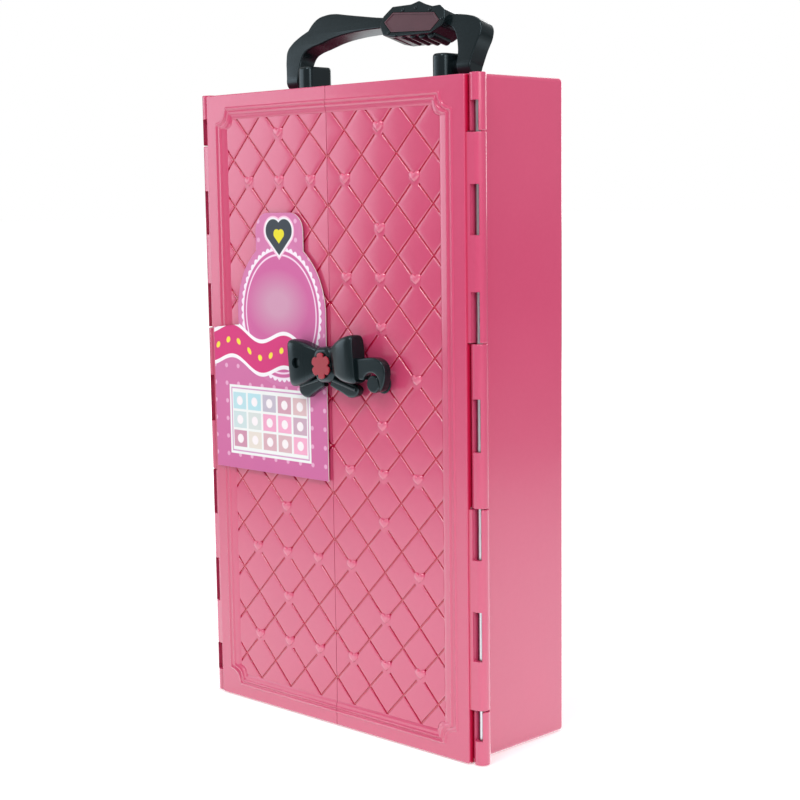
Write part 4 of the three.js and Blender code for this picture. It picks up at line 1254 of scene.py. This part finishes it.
# Clasp pin and catch peg
# The bow turns on a round-headed black pin through the left door. The peg, a short black stub with a
# flange and a snap end behind the door, stands where the hook drops over it.
field_seat = field_front - 0.3 * mm
clip_front = plate_back + 0.3 * mm
shank_end = clip_front + 0.4 * mm
clip_back = clip_front + 1.2 * mm
pin_head = clasp_back - 7.6 * mm
peg_head = field_seat - 7.4 * mm

pivot = rod("clasp_pin", pin_axis, 2.2 * mm, pin_head, pin_head + 1.4 * mm, edge=0.5 * mm)
join(
    pivot,
    rod("shank", pin_axis, 1.5 * mm, pin_head + 0.9 * mm, shank_end, sides=24),
    rod("clip", pin_axis, 2.2 * mm, clip_front, clip_back, edge=0.3 * mm),
)
polish(pivot, black, "left_door", "clasp_pivot_pin")

peg = rod("peg", peg_axis, 4.1 * mm, peg_head, peg_head + 7.0 * mm, sides=48, edge=0.8 * mm)
join(
    peg,
    rod("flange", peg_axis, 4.9 * mm, field_seat - 0.8 * mm, field_seat, sides=48, edge=0.25 * mm),
    rod("shank", peg_axis, 1.6 * mm, field_seat - 0.4 * mm, shank_end, sides=24),
    rod("clip", peg_axis, 2.6 * mm, clip_front, clip_back, edge=0.3 * mm),
)
polish(peg, black, "right_door", "catch_peg")


# Label card
# A printed board, die cut to an oblong with an oval head and a rounded tab, lies on the left door,
# held by the clasp's pin. Its print is plain decoration: a lace-edged oval, a heart, a ribbon and tiles.
# A soft pale patch in the upper part of the oval is painted sheen, not print.
card_front = -35.9 * mm
card_back = -35.4 * mm
card_thickness = card_back - card_front
card_level = (card_front + card_back) / 2
card_left, card_right = -84.0, -1.2
card_bottom, card_shoulder = 121.04, 192.04
oval_middle = (-33.0, 200.04)
oval_half = (31.8, 36.0)
tab_half_width, tab_top, tab_corner = 17.0, 249.04, 9.0

board_outline = [
    (card_left, card_bottom), (card_right, card_bottom),
    (card_right, oval_middle[1]), (card_left, card_shoulder),
]
head_outline = [
    (oval_middle[0] + oval_half[0] * math.cos(turn), oval_middle[1] + oval_half[1] * math.sin(turn))
    for turn in (math.pi * step / 8 for step in range(16))
]
board = flat_part(
    "printed_board", board_outline, card_thickness, corners=range(4), steps=8, level=card_level,
)
join(board, flat_part("head", head_outline, card_thickness, steps=8, level=card_level))
tab = cuboid(
    "tab", ((oval_middle[0] - tab_half_width) * mm, card_front, oval_middle[1] * mm),
    ((oval_middle[0] + tab_half_width) * mm, card_back, tab_top * mm),
)
with editing(tab):
    pick(tab, "EDGE", lambda place, way: abs(way.y) > 0.9 and place.z > (tab_top - tab_corner) * mm)
    bpy.ops.mesh.bevel(offset=tab_corner * mm, segments=10)
join(board, tab)
drill(board, pin_axis, pin_hole, card_front - 1 * mm, card_back + 1 * mm, sides=24)

card = Finish("printed_card")
card_place = card.place()
x, y, z = (along / mm for along in card.axes(card_place))


def dye(red, green, blue):
    """A printed colour, given as it looks on a screen, from 0 to 255."""
    return tuple((value / 255) ** 2.2 for value in (red, green, blue))


def distance(across, up):
    return (across * across + up * up).root()


def oval_reach(middle, half):
    """1 on an upright oval round the middle, less inside it."""
    return distance((x - middle[0]) / half[0], (z - middle[1]) / half[1])


def heart_reach(middle, width):
    """How far a place lies outside a heart: a square on its corner, with rounds on its upper sides."""
    side, up = abs(x - middle[0]), z - middle[1]
    square = (side + abs(up) - width * 0.414) / math.sqrt(2)
    return square.least(distance(side - width * 0.207, up - width * 0.207) - width * 0.293)


crisp = 0.25
dots = distance((x + 3.0).repeated(9.0), (z - 2.0).repeated(9.0)).below(1.1, 0.5)
ink_and_sheen = card.mixed(((z - 121.0) / 128.0).most(0.0), dye(204, 104, 154), dye(214, 126, 172))
ground = [(card.noise(card_place, 30.0) * 0.5, dye(190, 96, 152)), (dots * 0.55, dye(244, 200, 228))]

head = oval_reach(oval_middle, oval_half)
head_x, head_z = (x - oval_middle[0]) / oval_half[0], (z - oval_middle[1]) / oval_half[1]
scallop = abs((head.calculate("ARCTAN2", head_z, head_x) * 26.0).wave()) * 0.035
# Painted sheen: a soft pale patch over the upper middle of the oval.
painted_sheen_patch = oval_reach((-35.0, 205.0), (20.0, 15.0)).below(0.75, 0.8)
lace_and_sheen = [
    (head.below(0.98, 0.01), dye(208, 120, 168)),
    ((head - scallop).below(0.885, 0.012), dye(246, 232, 244)),
    (head.below(0.86, 0.012), dye(202, 98, 154)),
    (abs(head - 0.80).below(0.012, 0.012), dye(246, 214, 236)),
    (head.below(0.78, 0.02) * painted_sheen_patch * 0.75, dye(204, 160, 182)),
]

swash = abs(z - 180.5 + (x + 42.0) * 0.10 - (x * 0.16).wave() * 3.2)
below_head = z.below(198.0, 0.3)
seeds = distance((x + 1.0).repeated(8.0), swash).below(1.5, 0.4)
ribbon = [
    (swash.below(9.2, crisp) * below_head, dye(246, 240, 244)),
    (swash.below(7.3, crisp) * below_head, dye(208, 52, 118)),
    (seeds * x.below(-30.0, 0.3), dye(246, 222, 70)),
]

panel_x, panel_z = x + 43.0, z - 146.0
outside_panel = (abs(panel_x) - 30.0).most(abs(panel_z) - 17.5)
tile_wide, tile_tall = 11.2, 9.6
tile_x, tile_z = panel_x.repeated(tile_wide), panel_z.repeated(tile_tall)
tile = tile_x.most(tile_z * 1.17).below(4.9, crisp) * outside_panel.below(-2.6, 0.2)
column, row = panel_x / tile_wide, panel_z / tile_tall
shade = card.node("ShaderNodeTexWhiteNoise", {"noise_dimensions": "2D"}, {
    "Vector": card.node("ShaderNodeCombineXYZ", values={
        "X": column.calculate("ROUND", column), "Y": row.calculate("ROUND", row),
    }),
})
tile_colour = card.node("ShaderNodeValToRGB", {"stops": [
    (0.0, dye(224, 96, 128)), (0.25, dye(168, 220, 232)), (0.5, dye(232, 218, 206)),
    (0.7, dye(190, 96, 150)), (0.88, dye(240, 170, 200)),
]}, {"Fac": shade})
panel = [
    (outside_panel.below(0.0, crisp), dye(238, 240, 238)),
    (abs(outside_panel + 1.6).below(0.35, crisp), dye(206, 150, 190)),
    (tile, tile_colour),
    (tile * distance(tile_x, tile_z).below(2.3, 0.4), dye(246, 238, 240)),
]

crest = heart_reach((-33.0, 236.5), 19.0)
hearts = [
    (crest.below(1.6, crisp), dye(244, 190, 216)),
    (crest.below(0.9, crisp), dye(240, 236, 240)),
    (crest.below(0.0, crisp), dye(52, 58, 66)),
    (heart_reach((-33.0, 237.4), 7.6).below(0.0, crisp), dye(230, 216, 40)),
]
for share, colour in ground + lace_and_sheen + ribbon + panel + hearts:
    ink_and_sheen = card.mixed(share, ink_and_sheen, colour)

printed = y.below(card_front / mm + 0.03, 0.02)
fibre = card.noise(card_place, 700.0)
card.end({
    "Base Color": card.mixed(printed, card.mixed(fibre, (0.62, 0.60, 0.57), (0.74, 0.72, 0.69)), ink_and_sheen),
    "Roughness": 0.46 + fibre * 0.08,
    "IOR": 1.36,
    "Normal": card.bump(card.noise(card_place, 18.0, detail=1.0), 0.0004, 0.35),
})
polish(board, card, "left_door", "label_card")
